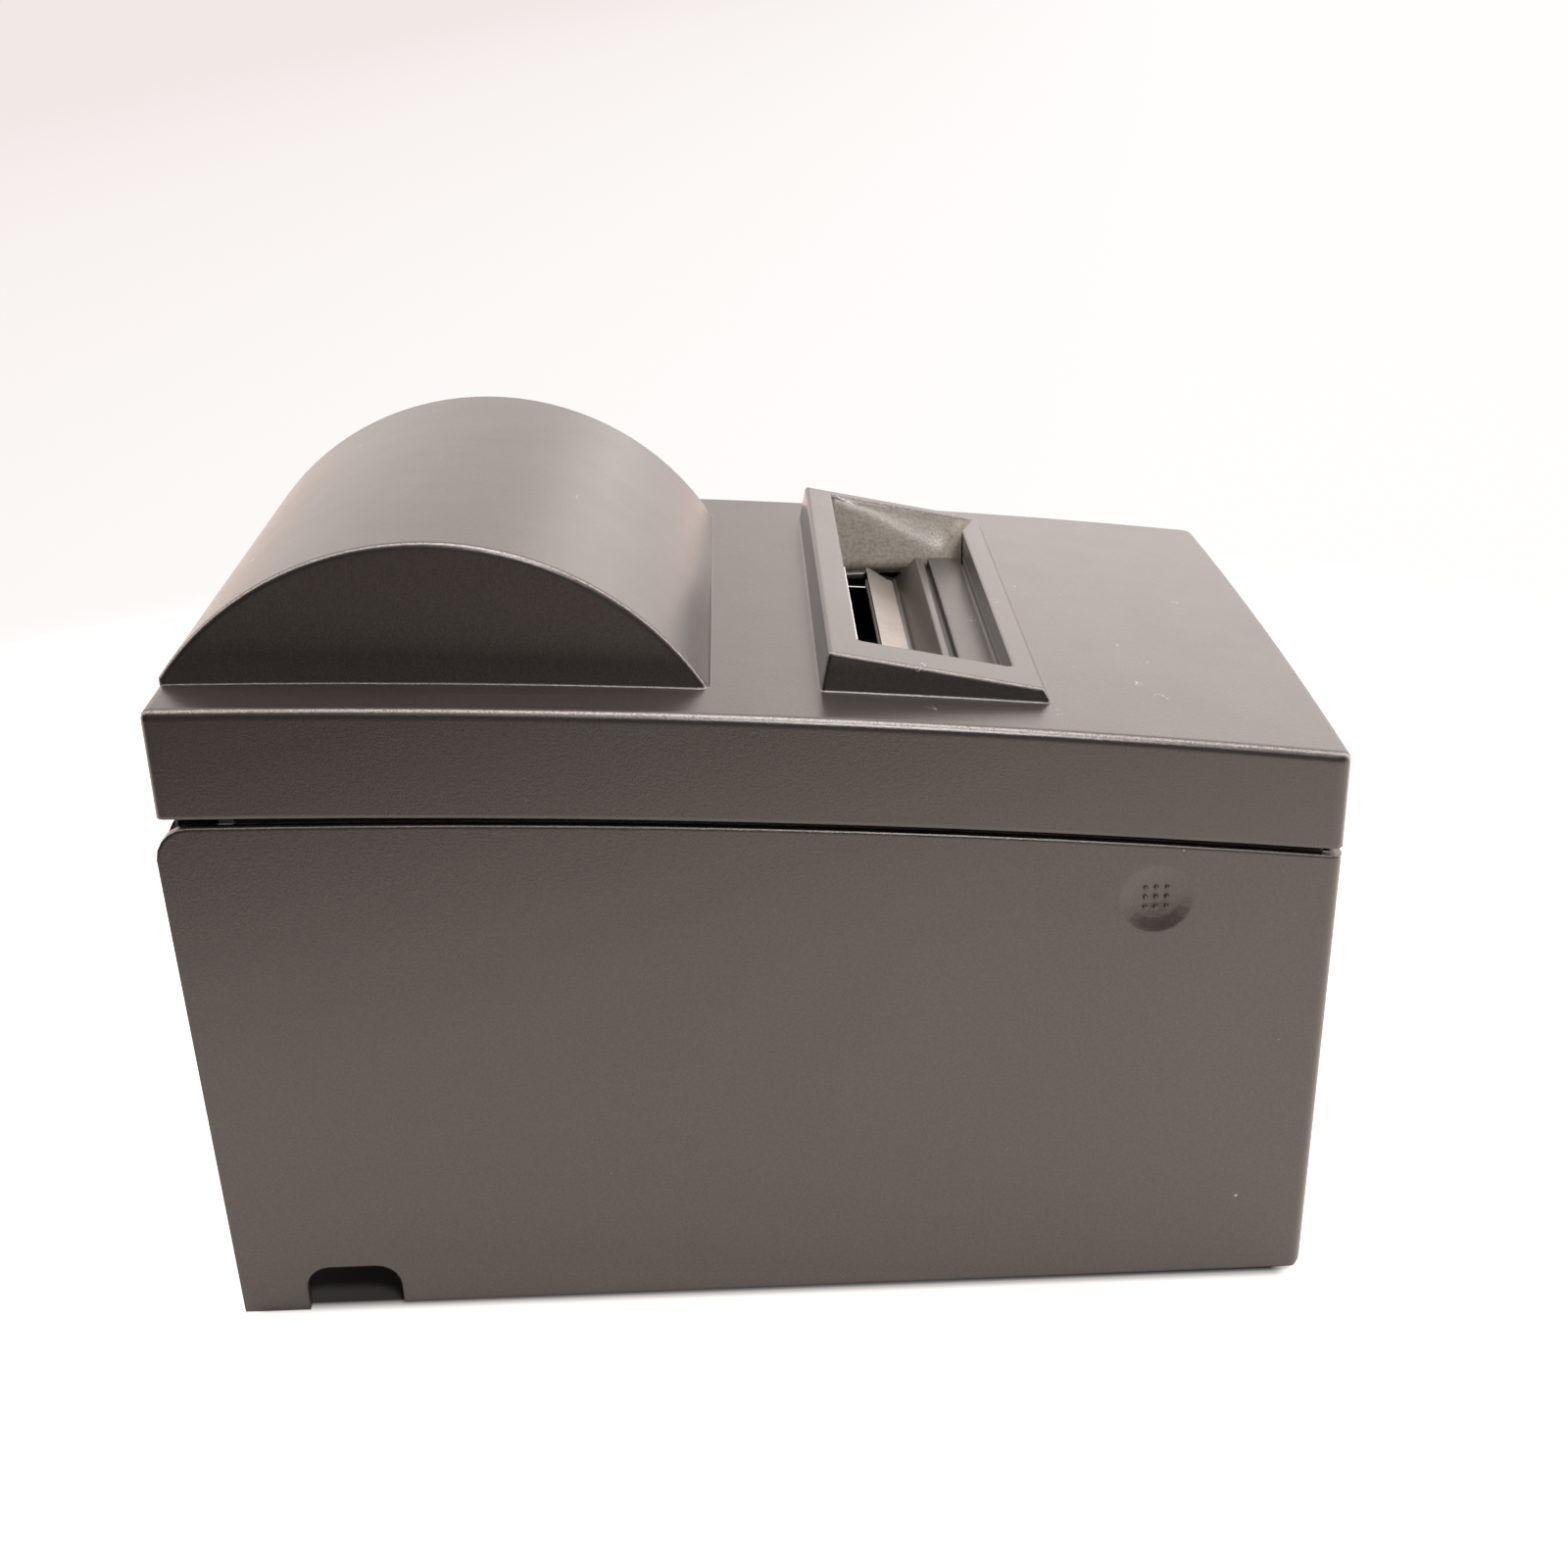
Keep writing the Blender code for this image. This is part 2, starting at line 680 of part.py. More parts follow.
def make_cover():
    """Full-length cover: crowned shell, roll hump, window frame, hinge ears and latches."""
    half = COVER_WIDTH / 2
    reach = COVER_LENGTH + FRONT_BOW + OVERRUN
    top = crowned(0, COVER_LENGTH, COVER_TOP_REAR_Z, COVER_TOP_FRONT_Z, COVER_TOP_CROWN, TOP_STEPS)
    front_fall = (top[-1][1] - top[-2][1]) / (top[-1][0] - top[-2][0])
    base = SKIRT_FRONT_Z - OVERRUN
    side = top + [
        (x_at(reach), top[-1][1] + front_fall * (x_at(reach) - top[-1][0])),
        (x_at(reach), base),
        (x_at(0), base),
    ]
    cover = outline("printer_cover", [side], -half, half)
    combine(
        cover,
        plan(
            "cover_plan",
            COVER_LENGTH,
            COVER_WIDTH,
            COVER_CORNER_RADIUS,
            FRONT_BOW,
            base - OVERRUN,
            COVER_TOP_REAR_Z + OVERRUN,
        ),
        "INTERSECT",
    )
    bevel(cover, COVER_EDGE_RADIUS, 3)
    skirt = crowned(0, COVER_LENGTH, SKIRT_REAR_Z, SKIRT_FRONT_Z, SKIRT_CROWN, TOP_STEPS)
    skirt_end = (x_at(COVER_LENGTH + OVERRUN), skirt[-1][1] + (skirt[-1][1] - skirt[-2][1]) / 2)
    below = [(x_at(-OVERRUN), SKIRT_REAR_Z)] + skirt + [skirt_end]
    floor = base - 2 * OVERRUN
    below += [(x_at(COVER_LENGTH + OVERRUN), floor), (x_at(-OVERRUN), floor)]
    trim = outline("cover_trim", [below], -half - OVERRUN, half + OVERRUN)
    foot = cover_top(COVER_LENGTH / 2) - HUMP_SINK
    hump = outline(
        "hump", [hump_outline(HUMP_RADIUS, HUMP_REAR_INSET, foot)], -HUMP_HALF_WIDTH, HUMP_HALF_WIDTH
    )
    bevel(hump, HUMP_EDGE_RADIUS, 2, 40.0)
    sink = cover_top(FRAME_TIP_X) - FRAME_SINK
    wedge = outline(
        "window_frame",
        [
            [
                (x_at(FRAME_REAR_BASE_X), sink),
                (x_at(FRAME_TIP_X), sink),
                (x_at(FRAME_TIP_X), cover_top(FRAME_TIP_X)),
                (x_at(FRAME_FRONT_TOP_X), FRAME_FRONT_TOP_Z),
                (x_at(FRAME_REAR_TOP_X), FRAME_REAR_TOP_Z),
                (x_at(FRAME_REAR_BASE_X), cover_top(FRAME_REAR_BASE_X)),
            ]
        ],
        -FRAME_HALF_WIDTH,
        FRAME_HALF_WIDTH,
    )
    bevel(wedge, FRAME_EDGE_RADIUS, 2, 25.0)
    cut(cover, trim)
    join(cover, hump, wedge)
    inner = crowned(
        0, COVER_LENGTH, COVER_TOP_REAR_Z, COVER_TOP_FRONT_Z, COVER_TOP_CROWN, TOP_STEPS, -COVER_WALL
    )
    inner[0] = (x_at(COVER_WALL), inner[0][1])
    inner[-1] = (x_at(COVER_LENGTH - COVER_WALL), inner[-1][1])
    inner += [(inner[-1][0], floor), (inner[0][0], floor)]
    cut(
        cover,
        outline("cover_hollow", [inner], COVER_WALL - half, half - COVER_WALL),
        outline(
            "hump_hollow",
            [hump_outline(HUMP_RADIUS - COVER_WALL, COVER_WALL, SKIRT_REAR_Z)],
            COVER_WALL - HUMP_HALF_WIDTH,
            HUMP_HALF_WIDTH - COVER_WALL,
        ),
        window_opening("window_opening"),
    )
    for name, sign in (("left", -1), ("right", 1)):
        join(cover, hinge_ear("ear_" + name, sign), latch("latch_" + name, sign))
        cut(cover, ear_bore("ear_bore_" + name, sign))
    finish(cover, "case_plastic", True)
    return cover


def window_opening(name):
    """Room inside the window: upright walls, but for a right wall that leans out to a narrow lip."""
    rear, front = x_at(WINDOW_REAR_X), x_at(WINDOW_FRONT_X)
    corner = WINDOW_CORNER_RADIUS
    near = arc((rear + corner, corner - WINDOW_HALF_WIDTH), corner, 180.0, 270.0, 2)
    near += arc((front - corner, corner - WINDOW_HALF_WIDTH), corner, 270.0, 360.0, 2)
    near.append((front, WINDOW_HALF_WIDTH - WINDOW_FLARE_START))
    foot = near + [(front, WINDOW_HALF_WIDTH), (rear, WINDOW_HALF_WIDTH)]
    lip_y = WINDOW_HALF_WIDTH + WINDOW_FLARE
    lip = near + [(front + WINDOW_FLARE_FRONT, lip_y), (rear, lip_y)]
    return loft(
        name,
        [
            [(across, up, SKIRT_REAR_Z) for across, up in foot],
            [(across, up, WINDOW_FOOT_Z) for across, up in foot],
            [(across, up, frame_top(across + MID_X) + SEAT_GAP) for across, up in lip],
            [(across, up, FRAME_REAR_TOP_Z + OVERRUN) for across, up in lip],
        ],
    )


def hinge_ear(name, sign):
    """An ear that reaches from the cover's top down round the hinge pin."""
    points = arc((x_at(HINGE_X), HINGE_Z), EAR_RADIUS, 180.0, 360.0, 12)
    top = cover_top(EAR_RUN) - COVER_WALL + EAR_SINK
    points += [
        (x_at(HINGE_X + EAR_RADIUS), SKIRT_REAR_Z),
        (x_at(EAR_RUN), top),
        (x_at(HINGE_X - EAR_RADIUS), top),
    ]
    middle = sign * HINGE_Y
    return outline(name, [points], middle - EAR_THICK / 2, middle + EAR_THICK / 2)


def ear_bore(name, sign):
    start = sign * HINGE_Y - EAR_THICK
    return cylinder(
        name, HINGE_PIN_RADIUS + RUN_GAP, (x_at(HINGE_X), start, HINGE_Z), 2 * EAR_THICK, "Y", 20
    )


def latch(name, sign):
    """A springy tongue inside each side of the cover, with a hook at its foot."""
    top = cover_top(LATCH_X + LATCH_LENGTH) - COVER_WALL + EAR_SINK
    low = top - LATCH_HEIGHT - EAR_SINK
    tongue = [
        (sign * LATCH_Y, low),
        (sign * (LATCH_Y + LATCH_THICK / 2), low),
        (sign * (LATCH_Y + LATCH_THICK + LATCH_HOOK), low + LATCH_HOOK_HEIGHT),
        (sign * (LATCH_Y + LATCH_THICK), low + LATCH_HOOK_HEIGHT + LATCH_HOOK / 2),
        (sign * (LATCH_Y + LATCH_THICK), top),
        (sign * LATCH_Y, top),
    ]
    return outline(name, [tongue], x_at(LATCH_X), x_at(LATCH_X + LATCH_LENGTH), "YZ")


def make_window_tray():
    """Insert below the window: paper slot, strip seat, ridge, groove, floor and side walls."""
    seat = STRIP_THICK + SEAT_GAP
    roof = COVER_WALL + SEAT_GAP
    rear = WINDOW_REAR_X - TRAY_WALL
    front = WINDOW_FRONT_X + TRAY_WALL
    profile = [
        (x_at(rear), TRAY_SHELF_Z - TRAY_WALL),
        (x_at(TRAY_SLOT_FRONT_X), TRAY_SHELF_Z - TRAY_WALL),
        (x_at(TRAY_STRIP_FRONT_X + TRAY_WALL), TRAY_STRIP_FRONT_Z - seat - TRAY_WALL),
        (x_at(TRAY_GROOVE_FRONT_X), TRAY_GROOVE_Z - TRAY_WALL),
        (x_at(TRAY_GROOVE_FRONT_X + TRAY_WALL), TRAY_FLOOR_Z - TRAY_WALL),
        (x_at(front), TRAY_FLOOR_Z - TRAY_WALL),
        (x_at(front), cover_top(front) - roof),
        (x_at(WINDOW_FRONT_X), cover_top(front) - roof),
        (x_at(WINDOW_FRONT_X), TRAY_FLOOR_Z),
        (x_at(TRAY_GROOVE_FRONT_X), TRAY_FLOOR_Z),
        (x_at(TRAY_GROOVE_FRONT_X), TRAY_GROOVE_Z),
        (x_at(TRAY_GROOVE_REAR_X), TRAY_GROOVE_Z),
        (x_at(TRAY_GROOVE_REAR_X), TRAY_FLOOR_Z),
        (x_at(TRAY_RIDGE_X), TRAY_RIDGE_Z),
        (x_at(TRAY_STRIP_FRONT_X + STRIP_THICK), TRAY_STRIP_FRONT_Z - seat),
        (x_at(TRAY_STRIP_FRONT_X), TRAY_STRIP_FRONT_Z - seat),
        (x_at(TRAY_SLOT_FRONT_X), TRAY_STRIP_REAR_Z - seat),
        (x_at(TRAY_SLOT_FRONT_X), TRAY_SHELF_Z),
        (x_at(WINDOW_REAR_X), TRAY_SHELF_Z),
        (x_at(WINDOW_REAR_X), cover_top(rear) - roof - TRAY_WALL / 2),
        (x_at(rear), cover_top(rear) - roof - TRAY_WALL / 2),
    ]
    wide = WINDOW_HALF_WIDTH + TRAY_SIDE
    tray = outline("window_tray", [profile], -wide, wide)
    side = [
        (x_at(rear), TRAY_SHELF_Z - TRAY_WALL / 2),
        (x_at(TRAY_GROOVE_REAR_X), TRAY_GROOVE_Z - TRAY_WALL / 2),
        (x_at(front - TRAY_WALL / 2), TRAY_FLOOR_Z - TRAY_WALL / 2),
        (x_at(front - TRAY_WALL / 2), cover_top(front) - roof - RIM_INSET),
        (x_at(rear + TRAY_WALL / 2), cover_top(rear) - roof - TRAY_WALL),
    ]
    left_side = outline("tray_side_left", [side], -wide - RIM_INSET, -WINDOW_HALF_WIDTH)
    right_side = outline(
        "tray_side_right", [side], WINDOW_HALF_WIDTH - RIM_INSET, WINDOW_HALF_WIDTH + TRAY_FLARED_SIDE
    )
    cut(right_side, window_opening("tray_flare"))
    join(tray, left_side, right_side)
    low = TRAY_STRIP_FRONT_Z - 2 * TRAY_WALL
    high = TRAY_STRIP_REAR_Z + TRAY_WALL
    ends = TRAY_STRIP_FRONT_X - SEAT_GAP
    for name, sign in (("left", -1), ("right", 1)):
        tip = sign * SLOT_HALF_WIDTH
        root = tip - sign * SLOT_END
        cut(
            tray,
            box("slot_end_" + name, (x_at(SLOT_REAR_X), min(tip, root), low), (
                x_at(ends), max(tip, root), high
            )),
        )
    middle = SLOT_HALF_WIDTH - SLOT_END / 2
    front_edge = x_at(TRAY_SLOT_FRONT_X - SEAT_GAP)
    cut(tray, box("paper_slot", (x_at(SLOT_REAR_X), -middle, low), (front_edge, middle, high)))
    return finish(tray, "case_plastic")


def make_guide_strip():
    """Bright strip on the slot's front edge, its ends clipped."""
    rear = x_at(TRAY_SLOT_FRONT_X) + SEAT_GAP
    front = x_at(TRAY_STRIP_FRONT_X) - SEAT_GAP
    side = [
        (rear, TRAY_STRIP_REAR_Z - STRIP_THICK),
        (front, TRAY_STRIP_FRONT_Z - STRIP_THICK),
        (front, TRAY_STRIP_FRONT_Z),
        (rear, TRAY_STRIP_REAR_Z),
    ]
    strip = outline("paper_guide_strip", [side], -STRIP_HALF_WIDTH, STRIP_HALF_WIDTH)
    for name, sign in (("left", -1), ("right", 1)):
        end = sign * STRIP_HALF_WIDTH
        clip = [
            (front + STRIP_CHAMFER, end + sign * STRIP_CHAMFER),
            (front - STRIP_CHAMFER, end + sign * STRIP_CHAMFER),
            (front - STRIP_CHAMFER, end),
            (front, end - sign * STRIP_CHAMFER),
            (front + STRIP_CHAMFER, end - sign * STRIP_CHAMFER),
        ]
        low = TRAY_STRIP_FRONT_Z - STRIP_CHAMFER
        cut(strip, outline("strip_clip_" + name, [clip], low, TRAY_STRIP_REAR_Z + STRIP_CHAMFER, "XY"))
    return finish(strip, "strip_steel")


def make_tear_bar():
    """Thin steel angle on the slot's rear edge, with pointed teeth along its upright leg."""
    rear = x_at(BLADE_REAR_X)
    low = TRAY_SHELF_Z + SEAT_GAP
    pitch = 2 * BLADE_HALF_WIDTH / BLADE_TEETH
    points = [(BLADE_HALF_WIDTH, low), (-BLADE_HALF_WIDTH, low)]
    for tooth in range(BLADE_TEETH):
        start = -BLADE_HALF_WIDTH + tooth * pitch
        points += [(start, BLADE_TOP_Z - BLADE_TOOTH_HEIGHT), (start + pitch / 2, BLADE_TOP_Z)]
    points.append((BLADE_HALF_WIDTH, BLADE_TOP_Z - BLADE_TOOTH_HEIGHT))
    blade = outline("tear_bar", [points[::-1]], rear, rear + BLADE_THICK, "YZ")
    foot = box(
        "tear_bar_foot",
        (x_at(WINDOW_REAR_X) + SEAT_GAP, -BLADE_HALF_WIDTH, low),
        (rear + BLADE_THICK / 2, BLADE_HALF_WIDTH, low + BLADE_THICK),
    )
    return finish(join(blade, foot), "strip_steel")


def case_bottom(along):
    """Height of the case's underside in front of the cable notch."""
    share = (along - NOTCH_FRONT_X) / (CASE_FRONT_FOOT_X - NOTCH_FRONT_X)
    return CASE_BOTTOM_REAR_Z + (CASE_BOTTOM_FRONT_Z - CASE_BOTTOM_REAR_Z) * share


def case_rear(height):
    """Place of the case's leaning rear face at a height."""
    return CASE_REAR_FOOT_X - (CASE_REAR_FOOT_X + CASE_REAR_OUT) * height / CASE_TOP_REAR_Z


def make_case():
    """Lower case: leaning rear, bowed front, cable cavity and notches, floor, rim, thumb marks."""
    half = CASE_WIDTH / 2
    notch_middle = (NOTCH_REAR_X + NOTCH_FRONT_X) / 2
    front_top = CASE_FRONT_TOP_X + FRONT_BOW
    front_foot = CASE_FRONT_FOOT_X + FRONT_BOW
    chamfer_top = CASE_BOTTOM_FRONT_Z + CASE_FRONT_CHAMFER
    round_centre = (x_at(-CASE_REAR_OUT + CASE_REAR_TOP_RADIUS), CASE_TOP_REAR_Z - CASE_REAR_TOP_RADIUS)
    side = [
        (x_at(CASE_REAR_FOOT_X), 0),
        (x_at(notch_middle), 0),
        (x_at(notch_middle), case_bottom(notch_middle)),
        (x_at(front_foot - CASE_FRONT_CHAMFER), CASE_BOTTOM_FRONT_Z),
        (x_at(front_foot), chamfer_top),
        (x_at(front_top), CASE_TOP_FRONT_Z),
    ]
    top = crowned(0, COVER_LENGTH, CASE_TOP_REAR_Z, CASE_TOP_FRONT_Z, CASE_TOP_CROWN, TOP_STEPS)
    side += [point for point in top[::-1] if point[0] > round_centre[0] + CASE_WALL]
    side += arc(round_centre, CASE_REAR_TOP_RADIUS, 90.0, 178.0, CORNER_STEPS)
    case = outline("lower_case", [side], -half, half)
    front = plan(
        "case_plan",
        CASE_FRONT_TOP_X,
        CASE_WIDTH,
        CASE_CORNER_RADIUS,
        FRONT_BOW,
        -OVERRUN,
        CASE_TOP_REAR_Z + OVERRUN,
        -2 * OVERRUN,
    )
    lean = (CASE_FRONT_TOP_X - CASE_FRONT_FOOT_X) / CASE_TOP_FRONT_Z
    front.data.transform(
        Matrix(((1, 0, lean, -lean * CASE_TOP_FRONT_Z), (0, 1, 0, 0), (0, 0, 1, 0), (0, 0, 0, 1)))
    )
    combine(case, front, "INTERSECT")
    bevel(case, COVER_EDGE_RADIUS - SEAT_GAP, 2)
    high = CASE_TOP_REAR_Z + 2 * OVERRUN
    inside = half - CASE_WALL
    roof = cavity_roof()
    cavity_front = CAVITY_FRONT_X + CAVITY_WALL
    floor_rear = case_bottom(cavity_front) + CASE_FLOOR
    chamber = [
        (x_at(cavity_front), floor_rear),
        (x_at(CASE_FRONT_FOOT_X - CASE_WALL - CASE_FRONT_CHAMFER), CASE_BOTTOM_FRONT_Z + CASE_FLOOR),
        (x_at(CASE_FRONT_FOOT_X - CASE_WALL), chamfer_top + CASE_WALL),
        (x_at(CASE_FRONT_TOP_X - CASE_WALL), CASE_TOP_FRONT_Z),
        (x_at(CASE_FRONT_TOP_X - CASE_WALL), high),
        (x_at(case_rear(CASE_TOP_REAR_Z) + CASE_WALL), high),
        (x_at(case_rear(CASE_TOP_REAR_Z) + CASE_WALL), CASE_TOP_REAR_Z),
        (x_at(case_rear(roof) + CASE_WALL), roof),
        (x_at(cavity_front), roof),
    ]
    cut(
        case,
        outline("case_hollow", [chamber], -inside, inside),
        box(
            "cable_cavity",
            (x_at(-OVERRUN), -inside, -OVERRUN),
            (x_at(CAVITY_FRONT_X), inside, CAVITY_TOP_Z),
        ),
    )
    notch_low = -OVERRUN - NOTCH_RADIUS
    notch = outline(
        "cable_notch",
        [
            rounded(
                (x_at(NOTCH_REAR_X), notch_low - NOTCH_RADIUS), (x_at(NOTCH_FRONT_X), NOTCH_TOP_Z), NOTCH_RADIUS
            )
        ],
        -half - OVERRUN,
        half + OVERRUN,
    )
    window = box(
        "connector_window",
        (x_at(CAVITY_FRONT_X) - OVERRUN, SEAT_WINDOW - PANEL_HALF_WIDTH, PANEL_BOTTOM_Z + CAVITY_WALL),
        (x_at(cavity_front) + OVERRUN, PANEL_HALF_WIDTH - SEAT_WINDOW, CAVITY_TOP_Z - CAVITY_WALL),
    )
    cut(case, notch, window)
    join(case, rim("rim"))
    for name, sign in (("left", -1), ("right", 1)):
        cut(case, ear_slot("ear_slot_" + name, sign), dimple("dimple_" + name, sign))
        for row in (-1, 0, 1):
            for column in (-1, 0, 1):
                join(case, dimple_dot("dot_%s_%d_%d" % (name, row, column), sign, row, column))
        for end, along in (("rear", FOOT_REAR_X), ("front", FOOT_FRONT_X)):
            cut(case, foot_recess("foot_recess_%s_%s" % (end, name), along, sign * FOOT_Y))
    cut(case, control_opening(), button_opening(), switch_opening())
    for lamp in range(3):
        cut(case, lamp_bar("lamp_opening_%d" % lamp, lamp, LAMP_RADIUS + SEAT_GAP, OVERRUN))
    return finish(case, "case_plastic", True)


def rim(name):
    """Raised lips just inside the case's top edge, along both sides."""
    inside = CASE_WIDTH / 2 - CASE_WALL
    front = COVER_LENGTH - COVER_WALL - RIM_THICK
    lift = []
    for step in range(TOP_STEPS + 1):
        along = RIM_REAR_X + (front - RIM_REAR_X) * step / TOP_STEPS
        lift.append((x_at(along), case_top(along)))
    top = [(across, up + RIM_HEIGHT) for across, up in lift]
    low = [(across, up - RIM_ROOT) for across, up in lift[::-1]]
    lip = outline(name, [top + low], -inside - RIM_INSET, inside + RIM_INSET)
    hollow = box(
        name + "_hollow",
        (x_at(0), RIM_THICK - inside, CASE_TOP_FRONT_Z - 2 * RIM_ROOT),
        (x_at(front) + OVERRUN, inside - RIM_THICK, CASE_TOP_REAR_Z + 2 * RIM_ROOT),
    )
    return cut(lip, hollow)


def ear_slot(name, sign):
    """Slot in the rear wall through which a hinge ear swings."""
    wide = EAR_THICK / 2 + EAR_SLOT_CLEAR
    middle = sign * HINGE_Y
    return box(
        name,
        (x_at(-CASE_REAR_OUT) - OVERRUN, middle - wide, HINGE_Z - EAR_SLOT_DEPTH),
        (x_at(HINGE_X), middle + wide, CASE_TOP_REAR_Z + OVERRUN),
    )


def dimple(name, sign):
    """Shallow round thumb mark, hollowed like a dish."""
    rings = []
    for share in DIMPLE_SHARES:
        depth = DIMPLE_DEPTH * (1 - share**2)
        rings.append((share * DIMPLE_RADIUS, CASE_WIDTH / 2 - depth))
    rings.append((DIMPLE_RADIUS, CASE_WIDTH / 2 + DIMPLE_DEPTH))
    centre = (x_at(DIMPLE_X), DIMPLE_Z)
    steps = range(DIMPLE_STEPS)
    return loft(
        name,
        [
            [
                (along, sign * across, up)
                for along, up in (polar(centre, radius, 360.0 * step / DIMPLE_STEPS) for step in steps)
            ]
            for radius, across in rings
        ],
    )


def dimple_dot(name, sign, row, column):
    floor = CASE_WIDTH / 2 - DIMPLE_DEPTH
    along = x_at(DIMPLE_X) + column * DOT_PITCH
    height = DIMPLE_Z + row * DOT_PITCH
    low = floor - DOT_SINK if sign > 0 else -floor - DOT_RISE
    return cylinder(name, DOT_RADIUS, (along, low, height), DOT_SINK + DOT_RISE, "Y", 6)


def foot_recess(name, along, across):
    height = case_bottom(along)
    return cylinder(
        name,
        FOOT_RADIUS + FOOT_RECESS_CLEAR,
        (x_at(along), across, height - OVERRUN),
        OVERRUN + FOOT_RECESS,
        "Z",
        20,
    )


def make_foot(name, along, across):
    height = case_bottom(along) + FOOT_RECESS - SEAT_GAP
    foot = cylinder(name, FOOT_RADIUS, (x_at(along), across, 0), height, "Z", 20)
    bevel(foot, FOOT_EDGE, 1)
    return finish(foot, "rubber", True)


def control_outline(grow):
    return rounded(
        (CONTROL_Y - CONTROL_HALF_WIDTH - grow, CONTROL_Z - CONTROL_HEIGHT / 2 - grow),
        (CONTROL_Y + CONTROL_HALF_WIDTH + grow, CONTROL_Z + CONTROL_HEIGHT / 2 + grow),
        CONTROL_CORNER + grow,
        4,
    )


def control_face():
    """Front of the control panel, just proud of the bowed wall."""
    return front_face(CONTROL_Z) + bow_at(CONTROL_Y) + CONTROL_PROUD


def bow_at(across):
    return FRONT_BOW * (1 - (2 * across / CASE_WIDTH) ** 2)


def control_opening():
    """Seat in the front wall for the panel that carries the lamps and the feed button."""
    return outline(
        "control_opening",
        [control_outline(SEAT_GAP)],
        control_face() - CONTROL_THICK - SEAT_GAP,
        front_face(CONTROL_Z) + OVERRUN,
        "YZ",
    )


def front_face(height):
    """Place of the case's front face at a height, on the corner line of its bow."""
    return x_at(CASE_FRONT_TOP_X - (CASE_FRONT_TOP_X - CASE_FRONT_FOOT_X) * (1 - height / CASE_TOP_FRONT_Z))


def button_outline(grow):
    return rounded(
        (BUTTON_Y - BUTTON_HALF_WIDTH - grow, CONTROL_Z - BUTTON_HEIGHT / 2 - grow),
        (BUTTON_Y + BUTTON_HALF_WIDTH + grow, CONTROL_Z + BUTTON_HEIGHT / 2 + grow),
        BUTTON_CORNER + grow,
        4,
    )


def button_opening():
    return outline(
        "button_opening",
        [button_outline(BUTTON_FLANGE + 2 * RUN_GAP)],
        x_at(CASE_FRONT_FOOT_X - 2 * OVERRUN),
        x_at(CASE_FRONT_TOP_X + OVERRUN),
        "YZ",
    )


def switch_outline(grow):
    return rounded(
        (SWITCH_Y - SWITCH_HALF_WIDTH - grow, SWITCH_Z - SWITCH_HEIGHT / 2 - grow),
        (SWITCH_Y + SWITCH_HALF_WIDTH + grow, SWITCH_Z + SWITCH_HEIGHT / 2 + grow),
        SWITCH_CORNER + grow,
        3,
    )


def switch_opening():
    return outline(
        "switch_opening",
        [switch_outline(SWITCH_BEZEL + SEAT_GAP)],
        x_at(CASE_FRONT_FOOT_X - 2 * OVERRUN),
        x_at(CASE_FRONT_TOP_X + OVERRUN),
        "YZ",
    )


def make_hinge_pin(name, sign):
    """Steel pin between the case's side wall and the hinge ear."""
    length = CASE_WIDTH / 2 - CASE_WALL - SEAT_GAP - HINGE_PIN_INNER_Y
    start = HINGE_PIN_INNER_Y if sign > 0 else -HINGE_PIN_INNER_Y - length
    return finish(
        cylinder(name, HINGE_PIN_RADIUS, (x_at(HINGE_X), start, HINGE_Z), length, "Y", 20), "steel", True
    )


def bucket_loop(radius, front, rear, top):
    """Trough outline: round below, straight up to its top."""
    points = arc((x_at(BUCKET_X), BUCKET_Z), radius, 180.0, 360.0, BUCKET_STEPS)
    return points + [(x_at(front), top), (x_at(rear), top)]


